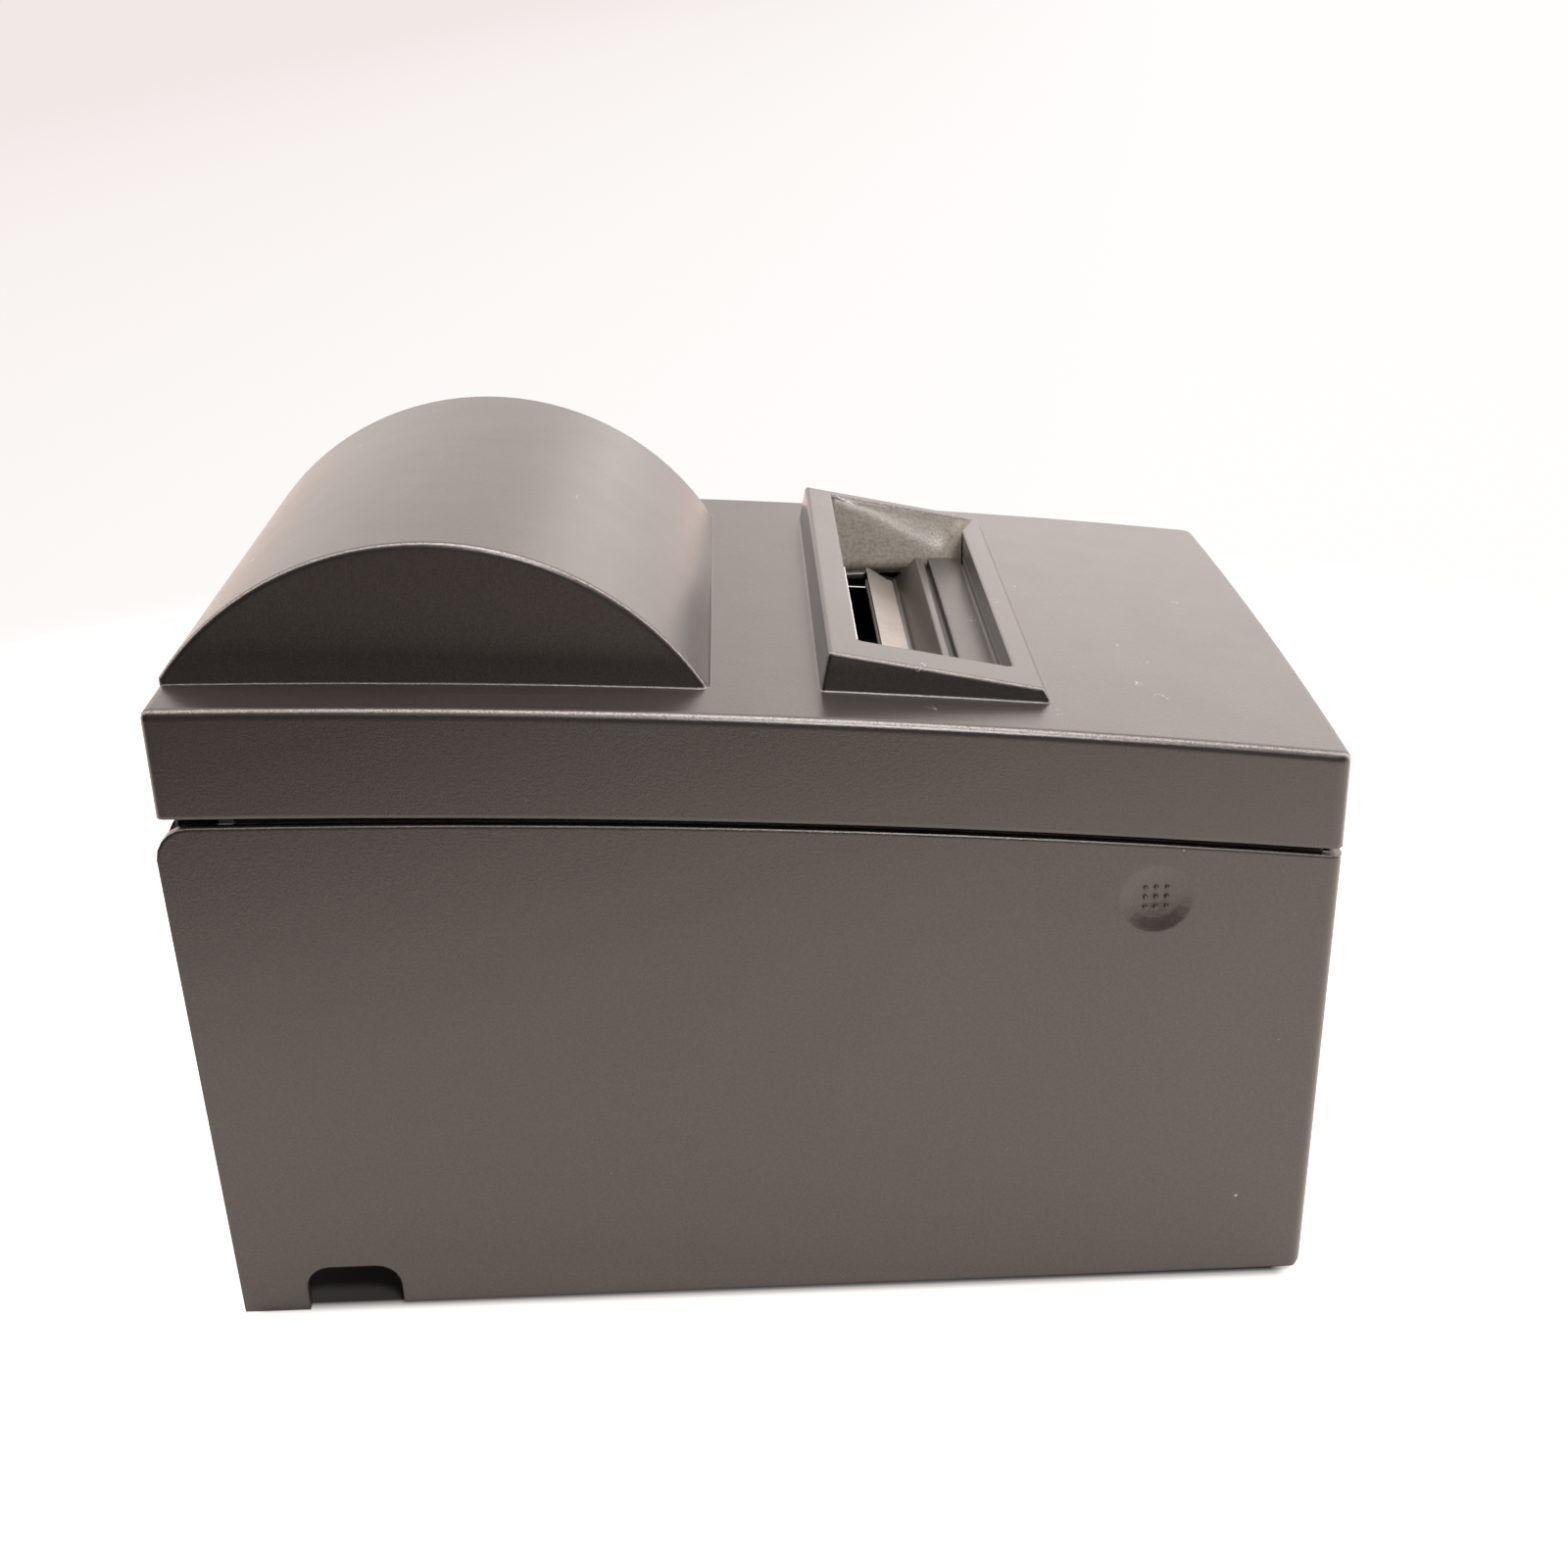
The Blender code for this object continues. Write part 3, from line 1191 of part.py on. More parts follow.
def make_bucket():
    """Roll trough with cheeks, a wide flange that hangs on the case and the paper's exit."""
    outer_radius = BUCKET_RADIUS + BUCKET_WALL
    outer_half = BUCKET_HALF_WIDTH + BUCKET_WALL
    outer_top = BUCKET_TOP_Z - BUCKET_WALL / 2
    outer = bucket_loop(outer_radius, BUCKET_X + outer_radius, BUCKET_X - outer_radius, outer_top)
    bucket = outline("paper_bucket", [outer], -outer_half, outer_half)
    flange = box(
        "bucket_flange",
        (x_at(BUCKET_FLANGE_REAR_X), -BUCKET_FLANGE_HALF, BUCKET_TOP_Z - BUCKET_WALL),
        (x_at(BUCKET_FLANGE_FRONT_X), BUCKET_FLANGE_HALF, BUCKET_TOP_Z),
    )
    join(bucket, flange)
    inner = bucket_loop(
        BUCKET_RADIUS, BUCKET_X + BUCKET_RADIUS, BUCKET_X - BUCKET_RADIUS, BUCKET_TOP_Z + OVERRUN
    )
    exit_cut = box(
        "bucket_exit",
        (x_at(BUCKET_EXIT_X), -BUCKET_HALF_WIDTH, BUCKET_EXIT_Z),
        (x_at(BUCKET_FLANGE_FRONT_X) + OVERRUN, BUCKET_HALF_WIDTH, BUCKET_TOP_Z + OVERRUN),
    )
    cut(bucket, outline("bucket_hollow", [inner], -BUCKET_HALF_WIDTH, BUCKET_HALF_WIDTH), exit_cut)
    for name, sign in (("left", -1), ("right", 1)):
        for end, along in (("rear", BUCKET_FLANGE_REAR_X), ("front", BUCKET_FLANGE_FRONT_X)):
            inward = BUCKET_LEG if end == "rear" else -BUCKET_LEG
            x_low, x_high = sorted((x_at(along), x_at(along + inward)))
            y_low, y_high = sorted((sign * BUCKET_FLANGE_HALF, sign * (BUCKET_FLANGE_HALF - BUCKET_LEG)))
            foot = cavity_roof() if end == "rear" else case_bottom(along) + CASE_FLOOR
            join(
                bucket,
                box(
                    "bucket_leg_%s_%s" % (end, name),
                    (x_low + BUCKET_WALL / 2, y_low + BUCKET_WALL / 2, foot + SEAT_GAP),
                    (x_high - BUCKET_WALL / 2, y_high - BUCKET_WALL / 2, outer_top),
                ),
            )
    reach = LEVER_PIVOT_RADIUS + LEVER_WINDOW
    window = box(
        "lever_window",
        (x_at(LEVER_X) - LEVER_LENGTH, BUCKET_HALF_WIDTH - BUCKET_WALL, LEVER_Z - reach),
        (x_at(LEVER_X) + reach, outer_half + BUCKET_WALL, LEVER_Z + reach),
    )
    pin = cylinder(
        "lever_pin",
        LEVER_PIVOT_RADIUS,
        (*lever_centre(), LEVER_Z - reach - BUCKET_WALL),
        2 * (reach + BUCKET_WALL),
        "Z",
        16,
    )
    join(cut(bucket, window), pin)
    return finish(bucket, "dark_plastic", True)


def cavity_roof():
    return CAVITY_TOP_Z + CAVITY_WALL


def board_top():
    return cavity_roof() + SEAT_GAP + BOARD_THICK


def base_low():
    return case_bottom(PLATE_FRONT_X) + CASE_FLOOR + SEAT_GAP


def base_top():
    return base_low() + BASE_THICK


def make_base_plate():
    """Steel plate on the case's floor, with turned-up edges and round holes."""
    half = FRAME_Y - PLATE_THICK - SEAT_GAP
    front = PLATE_FRONT_X
    side = [
        (x_at(BASE_REAR_X), base_low()),
        (x_at(front), base_low()),
        (x_at(front), base_top() + BASE_FLANGE),
        (x_at(front - BASE_THICK), base_top() + BASE_FLANGE),
        (x_at(front - BASE_THICK), base_top()),
        (x_at(BASE_REAR_X + BASE_THICK), base_top()),
        (x_at(BASE_REAR_X + BASE_THICK), base_top() + BASE_FLANGE),
        (x_at(BASE_REAR_X), base_top() + BASE_FLANGE),
    ]
    plate = outline("base_plate", [side], -half, half)
    middle = (BASE_REAR_X + front) / 2
    for row in (-1, 0, 1):
        for column in (-1, 1):
            cut(
                plate,
                cylinder(
                    "base_hole_%d_%d" % (row, column),
                    BASE_HOLE_RADIUS,
                    (x_at(middle + row * (front - BASE_REAR_X) / 4), column * half / 2, base_low() - OVERRUN),
                    2 * OVERRUN,
                    "Z",
                    14,
                ),
            )
    return finish(plate, "steel")


def make_plate(name, sign):
    """Side plate of the mechanism: stepped outline with its shaft holes and lightening holes."""
    outer = [
        (x_at(PLATE_REAR_X), base_low()),
        (x_at(PLATE_FRONT_X), base_low()),
        (x_at(PLATE_FRONT_X), RIBBON_BOTTOM_Z - SEAT_GAP),
        (x_at(PLATE_STEP_X), RIBBON_BOTTOM_Z - SEAT_GAP),
        (x_at(PLATE_STEP_X - PLATE_CORNER), PLATE_TOP_Z),
        (x_at(PLATE_REAR_X + PLATE_CORNER), PLATE_TOP_Z),
        (x_at(PLATE_REAR_X), PLATE_TOP_Z - PLATE_CORNER),
    ]
    low = min(sign * FRAME_Y, sign * (FRAME_Y - PLATE_THICK))
    plate = outline(name, [outer], low, low + PLATE_THICK)
    for hole, radius, along, up in (
        ("feed", FEED_SHAFT_RADIUS + RUN_GAP, FEED_X, FEED_Z),
        ("pinch", PINCH_SHAFT_RADIUS + RUN_GAP, *pinch_place()),
        ("shaft", SHAFT_RADIUS + RUN_GAP / 2, SHAFT_X, SHAFT_Z),
        ("light_rear", LIGHTENING_RADIUS, PLATE_REAR_X + 2 * LIGHTENING_RADIUS, 3 * LIGHTENING_RADIUS),
        ("light_front", LIGHTENING_RADIUS, PLATE_FRONT_X - 2 * LIGHTENING_RADIUS, 3 * LIGHTENING_RADIUS),
    ):
        cut(plate, cylinder(
            name + "_" + hole, radius, (x_at(along), low - OVERRUN, up), 3 * OVERRUN, "Y", 16
        ))
    if sign < 0:
        along, up = pinion_place()
        hub = GEAR_HUB_RADIUS + RUN_GAP
        cut(plate, cylinder(name + "_pinion", hub, (x_at(along), low - OVERRUN, up), 3 * OVERRUN, "Y", 16))
        along, up = idler_place()
        reach = PLATE_THICK / 2 + GEAR_OFF_PLATE + GEAR_WIDTH + GEAR_HUB_LENGTH / 2
        start = (x_at(along), low + PLATE_THICK / 2 - reach, up)
        join(plate, cylinder(name + "_idler_pin", IDLER_PIN_RADIUS, start, reach, "Y", 20))
    return finish(plate, "steel", True)


def pinch_place():
    reach = FEED_ROLLER_RADIUS + PINCH_RADIUS + PAPER_GAP
    return polar((FEED_X, FEED_Z), reach, PINCH_ANGLE)


def idler_place():
    return polar((FEED_X, FEED_Z), GEAR_MODULE * (FEED_TEETH + IDLER_TEETH) / 2, IDLER_ANGLE)


def pinion_place():
    return polar(idler_place(), GEAR_MODULE * (IDLER_TEETH + PINION_TEETH) / 2, PINION_ANGLE)


def gear_y():
    """Outer end of the gears' hubs beside the left plate, counted towards -Y."""
    return -FRAME_Y - GEAR_OFF_PLATE - GEAR_WIDTH


def make_gear(name, teeth, place, phase, bore, skin, hub=True):
    """Spur gear with trapezoid teeth, a hub, a bore and holes in its web where they fit."""
    pitch_radius = GEAR_MODULE * teeth / 2
    pitch = 360.0 / teeth
    inner = pitch_radius - GEAR_MODULE * TOOTH_IN_SHARE
    tip = pitch_radius + GEAR_MODULE * TOOTH_OUT_SHARE
    centre = (x_at(place[0]), place[1])
    points = []
    for tooth in range(teeth):
        middle = phase + tooth * pitch
        for radius, share in (
            (inner, -TOOTH_ROOT_SHARE),
            (tip, -TOOTH_TIP_SHARE),
            (tip, TOOTH_TIP_SHARE),
            (inner, TOOTH_ROOT_SHARE),
        ):
            points.append(polar(centre, radius, middle + share * pitch))
    gear = outline(name, [points], gear_y(), gear_y() + GEAR_WIDTH)
    if hub:
        hub_start = (centre[0], gear_y() - GEAR_HUB_LENGTH, centre[1])
        join(gear, cylinder(
            name + "_hub", GEAR_HUB_RADIUS, hub_start, GEAR_HUB_LENGTH + GEAR_WIDTH / 2, "Y", 16
        ))
        ring = (inner + GEAR_HUB_RADIUS) / 2
        for hole in range(GEAR_WEB_HOLES):
            across, up = polar(centre, ring, phase + hole * 360.0 / GEAR_WEB_HOLES)
            cut(
                gear,
                cylinder(
                    "%s_web_%d" % (name, hole), GEAR_WEB_HOLE, (across, gear_y() - OVERRUN, up), 3 * OVERRUN, "Y", 8
                ),
            )
    cut(
        gear,
        cylinder(
            name + "_bore", bore, (centre[0], gear_y() - 2 * OVERRUN, centre[1]), 4 * OVERRUN, "Y", 12
        ),
    )
    pivot(gear, (centre[0], gear_y(), centre[1]))
    return gear


def lever_centre():
    """Place of the lever's upright pin, within the bucket's right cheek."""
    return (x_at(LEVER_X), BUCKET_HALF_WIDTH + BUCKET_WALL - RUN_GAP)


def make_lever():
    """Sprung lever that feels the side of a nearly used-up roll."""
    centre = lever_centre()
    eye = LEVER_PIVOT_RADIUS + RUN_GAP + LEVER_EYE
    low = LEVER_Z - LEVER_WIDTH / 2
    high = LEVER_Z + LEVER_WIDTH / 2
    inner = BUCKET_HALF_WIDTH + RUN_GAP
    end = centre[0] - LEVER_LENGTH + LEVER_PIVOT_RADIUS
    root = centre[0] - LEVER_PIVOT_RADIUS - 2 * RUN_GAP
    arm = [
        (root, inner),
        (root, inner + LEVER_THICK),
        (end + LEVER_NOSE, inner + LEVER_THICK),
        (end, inner + LEVER_THICK / 4),
        (end + LEVER_NOSE, inner - LEVER_NOSE),
        (end + 2 * LEVER_NOSE, inner - LEVER_NOSE),
        (end + 4 * LEVER_NOSE, inner),
    ]
    lever = cylinder("near_end_lever", eye, (*centre, low), LEVER_WIDTH, "Z", 24)
    join(lever, outline("lever_arm", [arm], low + RIM_INSET, high - RIM_INSET, "XY"))
    cut(
        lever,
        cylinder(
            "lever_bore", LEVER_PIVOT_RADIUS + RUN_GAP, (*centre, low - OVERRUN), LEVER_WIDTH + 2 * OVERRUN, "Z", 20
        ),
    )
    return finish(pivot(lever, (*centre, LEVER_Z)), "lever_plastic", True)


def make_feed():
    """Feed shaft with its rubber sleeve, its gear, and the pinch roller pressed against the paper."""
    end = FRAME_Y + GEAR_OFF_PLATE + GEAR_WIDTH + GEAR_HUB_LENGTH
    reach = end + FRAME_Y + SEAT_GAP
    shaft = cylinder("feed_shaft", FEED_SHAFT_RADIUS, (x_at(FEED_X), -end, FEED_Z), reach, "Y", 24)
    finish(pivot(shaft, (x_at(FEED_X), 0, FEED_Z)), "steel", True)
    start = (x_at(FEED_X), -FEED_ROLLER_HALF, FEED_Z)
    sleeve = cylinder("feed_sleeve", FEED_ROLLER_RADIUS, start, 2 * FEED_ROLLER_HALF, "Y", 22)
    bore_start = (x_at(FEED_X), -FEED_ROLLER_HALF - OVERRUN, FEED_Z)
    bore = FEED_SHAFT_RADIUS + SEAT_GAP
    cut(sleeve, cylinder("feed_bore", bore, bore_start, 2 * (FEED_ROLLER_HALF + OVERRUN), "Y", 20))
    finish(pivot(sleeve, (x_at(FEED_X), 0, FEED_Z)), "rubber", True)
    along, up = pinch_place()
    pinch = cylinder("pinch_roller", PINCH_RADIUS, (x_at(along), -PINCH_HALF, up), 2 * PINCH_HALF, "Y", 22)
    pin_start = (x_at(along), -FRAME_Y - SEAT_GAP, up)
    join(pinch, cylinder("pinch_shaft", PINCH_SHAFT_RADIUS, pin_start, 2 * (FRAME_Y + SEAT_GAP), "Y", 20))
    finish(pivot(pinch, (x_at(along), 0, up)), "rubber", True)
    phase = gear_phase(IDLER_ANGLE, FEED_TEETH, 0.0)
    finish(
        make_gear(
            "feed_gear", FEED_TEETH, (FEED_X, FEED_Z), phase, FEED_SHAFT_RADIUS + SEAT_GAP, "gear_plastic"
        ),
        "gear_plastic",
    )
    back = gear_phase(IDLER_ANGLE + 180.0, IDLER_TEETH, 0.5)
    idler = make_gear(
        "idler_gear", IDLER_TEETH, idler_place(), back, IDLER_PIN_RADIUS + RUN_GAP, "gear_plastic"
    )
    finish(idler, "gear_plastic")
    mesh_share = ((PINION_ANGLE - back) / 360.0 * IDLER_TEETH) % 1.0
    pinion_phase = gear_phase(PINION_ANGLE + 180.0, PINION_TEETH, 0.5 - mesh_share)
    pinion = make_gear(
        "motor_pinion", PINION_TEETH, pinion_place(), pinion_phase, MOTOR_SHAFT_RADIUS + SEAT_GAP, "brass", False
    )
    finish(pinion, "brass")


def gear_phase(angle, teeth, share):
    """Turn of a gear that puts a tooth, or a share of a pitch past it, on a line at an angle."""
    return angle - share * 360.0 / teeth


def motor_can(name, radius, length, start, axis):
    can = cylinder(name, radius, start, length, axis, 28)
    return bevel(can, MOTOR_EDGE, 1)


def make_feed_motor():
    """Round stepper motor inside the left plate, its shaft through the plate to the pinion."""
    along, up = pinion_place()
    face = -FRAME_Y + PLATE_THICK + SEAT_GAP
    motor = motor_can("feed_motor", FEED_MOTOR_RADIUS, FEED_MOTOR_LENGTH, (x_at(along), face, up), "Y")
    shaft_low = gear_y() - SEAT_GAP
    shaft = cylinder(
        "feed_motor_shaft", MOTOR_SHAFT_RADIUS, (x_at(along), shaft_low, up), face - shaft_low + MOTOR_FLANGE, "Y", 16
    )
    wide = FEED_MOTOR_RADIUS + MOTOR_EAR
    ears = outline(
        "feed_motor_ears",
        [
            rounded(
                (x_at(along) - MOTOR_EAR, up - wide), (x_at(along) + MOTOR_EAR, up + wide), MOTOR_EAR_ROUND, 4
            )
        ],
        face + RIM_INSET,
        face + RIM_INSET + MOTOR_FLANGE,
    )
    join(motor, ears, shaft)
    return finish(motor, "motor_steel", True)


def make_carriage_motor():
    """Round stepper motor under its shelf, with its shaft up to the drive pulley."""
    top = MOTOR_SHELF_Z - SEAT_GAP
    start = (x_at(BELT_X), -PULLEY_Y, top - CARRIAGE_MOTOR_LENGTH)
    motor = motor_can("carriage_motor", CARRIAGE_MOTOR_RADIUS, CARRIAGE_MOTOR_LENGTH, start, "Z")
    reach = BELT_Z + BELT_WIDTH / 2 + PULLEY_FLANGE_THICK - top + MOTOR_FLANGE
    shaft_start = (x_at(BELT_X), -PULLEY_Y, top - MOTOR_FLANGE)
    join(motor, cylinder("carriage_motor_shaft", MOTOR_SHAFT_RADIUS, shaft_start, reach, "Z", 16))
    return finish(motor, "motor_steel", True)


def make_shelf():
    """Steel shelf between the side plates that carries the carriage motor and the belt's idler."""
    half = FRAME_Y - PLATE_THICK - SEAT_GAP
    low = (x_at(BELT_X - SHELF_HALF_DEPTH), -half)
    high = (x_at(BELT_X + SHELF_HALF_DEPTH), half)
    shelf = outline(
        "motor_shelf", [rounded(low, high, CARRIAGE_EDGE, 2)], MOTOR_SHELF_Z, MOTOR_SHELF_Z + SHELF_THICK, "XY"
    )
    hole = cylinder(
        "shelf_hole",
        2 * MOTOR_SHAFT_RADIUS,
        (x_at(BELT_X), -PULLEY_Y, MOTOR_SHELF_Z - OVERRUN),
        3 * OVERRUN,
        "Z",
        16,
    )
    post_height = BELT_Z + BELT_WIDTH / 2 + PULLEY_FLANGE_THICK - MOTOR_SHELF_Z - SHELF_THICK / 2
    post_start = (x_at(BELT_X), PULLEY_Y, MOTOR_SHELF_Z + SHELF_THICK / 2)
    post = cylinder("idler_post", PULLEY_BORE - RUN_GAP, post_start, post_height, "Z", 16)
    join(cut(shelf, hole), post)
    return finish(shelf, "steel", True)


def make_pulley(name, across):
    """Flanged belt pulley on a vertical axis."""
    centre = (x_at(BELT_X), across, 0)
    low = BELT_Z - BELT_WIDTH / 2 - SEAT_GAP
    wide = PULLEY_RADIUS + PULLEY_FLANGE
    height = BELT_WIDTH + 2 * SEAT_GAP
    pulley = cylinder(name, PULLEY_RADIUS, (*centre[:2], low - RIM_INSET), height + 2 * RIM_INSET, "Z", 18)
    for end, start in (("low", low - PULLEY_FLANGE_THICK), ("high", low + height)):
        join(pulley, cylinder(name + "_" + end, wide, (*centre[:2], start), PULLEY_FLANGE_THICK, "Z", 18))
    bore = cylinder(
        name + "_bore", PULLEY_BORE, (*centre[:2], low - OVERRUN), height + 2 * OVERRUN, "Z", 12
    )
    cut(pulley, bore)
    return finish(pivot(pulley, (*centre[:2], BELT_Z)), "gear_plastic", True)


def belt_loop(radius):
    centre_low = (x_at(BELT_X), -PULLEY_Y)
    centre_high = (x_at(BELT_X), PULLEY_Y)
    return arc(centre_high, radius, 0.0, 180.0, 16) + arc(centre_low, radius, 180.0, 360.0, 16)


def make_belt():
    inner = PULLEY_RADIUS + SEAT_GAP
    low = BELT_Z - BELT_WIDTH / 2
    belt = outline(
        "drive_belt", [belt_loop(inner + BELT_THICK), belt_loop(inner)], low, low + BELT_WIDTH, "XY"
    )
    return finish(belt, "rubber", True)


def make_shaft():
    half = FRAME_Y + SEAT_GAP
    return finish(
        cylinder("guide_shaft", SHAFT_RADIUS, (x_at(SHAFT_X), -half, SHAFT_Z), 2 * half, "Y", 20), "steel", True
    )


def make_rail():
    """Angle rail that the carriage's tongue slides on."""
    half = FRAME_Y - PLATE_THICK - SEAT_GAP
    front = x_at(RAIL_X + RAIL_DEPTH)
    side = [
        (x_at(RAIL_X), RAIL_Z - RAIL_THICK),
        (front - RAIL_THICK, RAIL_Z - RAIL_THICK),
        (front - RAIL_THICK, RAIL_Z - RAIL_LIP),
        (front, RAIL_Z - RAIL_LIP),
        (front, RAIL_Z),
        (x_at(RAIL_X), RAIL_Z),
    ]
    return finish(outline("carriage_rail", [side], -half, half), "steel")


def make_carriage():
    """Carriage block on the guide shaft, with its tongue on the rail and its fork round the belt."""
    body = box(
        "carriage",
        (x_at(CARRIAGE_REAR_X), -CARRIAGE_HALF, CARRIAGE_BOTTOM_Z),
        (x_at(CARRIAGE_FRONT_X), CARRIAGE_HALF, CARRIAGE_TOP_Z),
    )
    bevel(body, CARRIAGE_EDGE, 2)
    low = RAIL_Z + SEAT_GAP
    tongue = box(
        "carriage_tongue",
        (x_at(CARRIAGE_FRONT_X) - CARRIAGE_TONGUE, -CARRIAGE_HALF / 2, low),
        (x_at(RAIL_X) + RAIL_DEPTH - RAIL_THICK, CARRIAGE_HALF / 2, low + CARRIAGE_TONGUE),
    )
    belt_mid = x_at(BELT_X) - PULLEY_RADIUS - SEAT_GAP - BELT_THICK / 2
    wide = BELT_THICK / 2 + SEAT_GAP
    fork = box(
        "belt_fork",
        (belt_mid - wide - CLAMP_WALL, -CLAMP_HALF, BELT_Z - BELT_WIDTH / 2),
        (belt_mid + wide + CLAMP_WALL, CLAMP_HALF, CARRIAGE_BOTTOM_Z + CARRIAGE_EDGE),
    )
    gap = box(
        "fork_gap",
        (belt_mid - wide, -CLAMP_HALF - OVERRUN, BELT_Z - OVERRUN),
        (belt_mid + wide, CLAMP_HALF + OVERRUN, BELT_Z + BELT_WIDTH / 2 + SEAT_GAP),
    )
    join(body, tongue, cut(fork, gap))
    cut(
        body,
        cylinder(
            "carriage_bore",
            SHAFT_RADIUS + RUN_GAP,
            (x_at(SHAFT_X), -CARRIAGE_HALF - OVERRUN, SHAFT_Z),
            2 * (CARRIAGE_HALF + OVERRUN),
            "Y",
            20,
        ),
    )
    return finish(pivot(body, (x_at(SHAFT_X), 0, SHAFT_Z)), "dark_plastic", True)


def make_head():
    """Finned print head on the carriage, with its narrow wire nose towards the platen."""
    low = CARRIAGE_TOP_Z + SEAT_GAP
    head = box(
        "print_head",
        (x_at(HEAD_REAR_X), -HEAD_HALF, low),
        (x_at(HEAD_FRONT_X), HEAD_HALF, low + HEAD_HEIGHT),
    )
    nose = box(
        "head_nose",
        (x_at(HEAD_NOSE_X), -NOSE_HALF, HEAD_Z - NOSE_HEIGHT / 2),
        (x_at(HEAD_REAR_X + HEAD_FIN), NOSE_HALF, HEAD_Z + NOSE_HEIGHT / 2),
    )
    join(head, bevel(nose, HEAD_FIN, 1))
    pitch = HEAD_HEIGHT / (HEAD_FINS + 1)
    for fin in range(1, HEAD_FINS + 1):
        for name, sign in (("left", -1), ("right", 1)):
            y_low, y_high = sorted((sign * (HEAD_HALF + HEAD_FIN), sign * (HEAD_HALF - 2 * HEAD_FIN)))
            cut(
                head,
                box(
                    "fin_gap_%d_%s" % (fin, name),
                    (x_at(HEAD_REAR_X) + 2 * HEAD_FIN, y_low, low + fin * pitch - HEAD_FIN / 2),
                    (x_at(HEAD_FRONT_X) + HEAD_FIN, y_high, low + fin * pitch + HEAD_FIN / 2),
                ),
            )
    return finish(head, "motor_steel")


def make_platen():
    half = FRAME_Y - PLATE_THICK - SEAT_GAP
    platen = box(
        "platen",
        (x_at(PLATEN_REAR_X), -half, HEAD_Z - PLATEN_HEIGHT / 2),
        (x_at(PLATEN_FRONT_X), half, HEAD_Z + PLATEN_HEIGHT / 2),
    )
    return finish(bevel(platen, PLATEN_EDGE, 2), "rubber")


def make_cassette():
    """Ribbon cassette: flat case with two arms that hold the ribbon before the platen."""
    high = RIBBON_BOTTOM_Z + RIBBON_HEIGHT
    body = outline(
        "ribbon_cassette",
        [rounded(
            (x_at(RIBBON_REAR_X), -RIBBON_HALF), (x_at(RIBBON_FRONT_X), RIBBON_HALF), RIBBON_CORNER, 4
        )],
        RIBBON_BOTTOM_Z,
        high,
        "XY",
    )
    bevel(body, RIBBON_EDGE, 1)
    for name, sign in (("left", -1), ("right", 1)):
        inner = sign * RIBBON_ARM_INNER
        outer = sign * (RIBBON_ARM_INNER + RIBBON_ARM_WIDTH)
        arm = [
            (x_at(RIBBON_ARM_REAR_X), inner),
            (x_at(RIBBON_REAR_X + RIBBON_CORNER), inner),
            (x_at(RIBBON_REAR_X + RIBBON_CORNER), outer),
            (x_at(RIBBON_ARM_REAR_X) + RIBBON_ARM_WIDTH / 2, outer),
            (x_at(RIBBON_ARM_REAR_X), inner + sign * RIBBON_ARM_WIDTH / 2),
        ]
        join(
            body,
            outline("ribbon_arm_" + name, [arm], RIBBON_BOTTOM_Z + RIBBON_EDGE, high - RIBBON_EDGE, "XY"),
        )
    post = cylinder(
        "knob_post", KNOB_POST, (x_at(KNOB_X), KNOB_Y, high - RIBBON_EDGE), RIBBON_EDGE + KNOB_HEIGHT, "Z", 16
    )
    join(body, post)
    return finish(body, "dark_plastic", True)


def make_ribbon():
    half = RIBBON_ARM_INNER + RIBBON_ARM_WIDTH / 2
    return finish(
        box(
            "ribbon",
            (x_at(RIBBON_NOSE_X), -half, HEAD_Z + NOSE_HEIGHT / 2 - RIBBON_WIDTH / 2),
            (x_at(RIBBON_NOSE_X) + RIBBON_THICK, half, HEAD_Z + NOSE_HEIGHT / 2 + RIBBON_WIDTH / 2),
        ),
        "ribbon_ink",
    )


def make_knob():
    """Ribbon take-up knob with a fluted rim."""
    low = RIBBON_BOTTOM_Z + RIBBON_HEIGHT + SEAT_GAP
    steps = KNOB_RIBS * 4
    points = []
    for step in range(steps):
        radius = KNOB_RADIUS - (KNOB_RIB if step % 4 in (2, 3) else 0)
        points.append(polar((x_at(KNOB_X), KNOB_Y), radius, 360.0 * step / steps))
    knob = outline("ribbon_knob", [points], low, low + KNOB_HEIGHT, "XY")
    bore = cylinder(
        "knob_bore", KNOB_POST + RUN_GAP, (x_at(KNOB_X), KNOB_Y, low - OVERRUN), 4 * OVERRUN, "Z", 20
    )
    cut(knob, bore)
    return finish(pivot(knob, (x_at(KNOB_X), KNOB_Y, low)), "lever_plastic")


def make_board():
    """Circuit board on the cavity's roof, with its chips and round capacitors fused on."""
    low = board_top() - BOARD_THICK
    board = box(
        "main_board", (x_at(BOARD_REAR_X), -BOARD_HALF_WIDTH, low), (
            x_at(BOARD_FRONT_X), BOARD_HALF_WIDTH, board_top()
        )
    )
    middle = (BOARD_REAR_X + BOARD_FRONT_X) / 2
    for step, across_share in enumerate(CHIP_SHARES):
        across = across_share * BOARD_HALF_WIDTH
        join(
            board,
            box(
                "chip_%d" % step,
                (x_at(middle) - CHIP_HALF, across - CHIP_HALF, board_top() - BOARD_THICK / 2),
                (x_at(middle) + CHIP_HALF, across + CHIP_HALF, board_top() + CHIP_HEIGHT),
            ),
        )
    for step, across_share in enumerate(CAPACITOR_SHARES):
        start = (x_at(BOARD_REAR_X + 2 * CAPACITOR_RADIUS), across_share * BOARD_HALF_WIDTH)
        join(
            board,
            cylinder(
                "capacitor_%d" % step,
                CAPACITOR_RADIUS,
                (*start, board_top() - BOARD_THICK / 2),
                CAPACITOR_HEIGHT + BOARD_THICK / 2,
                "Z",
                16,
            ),
        )
    return finish(board, "circuit_board")


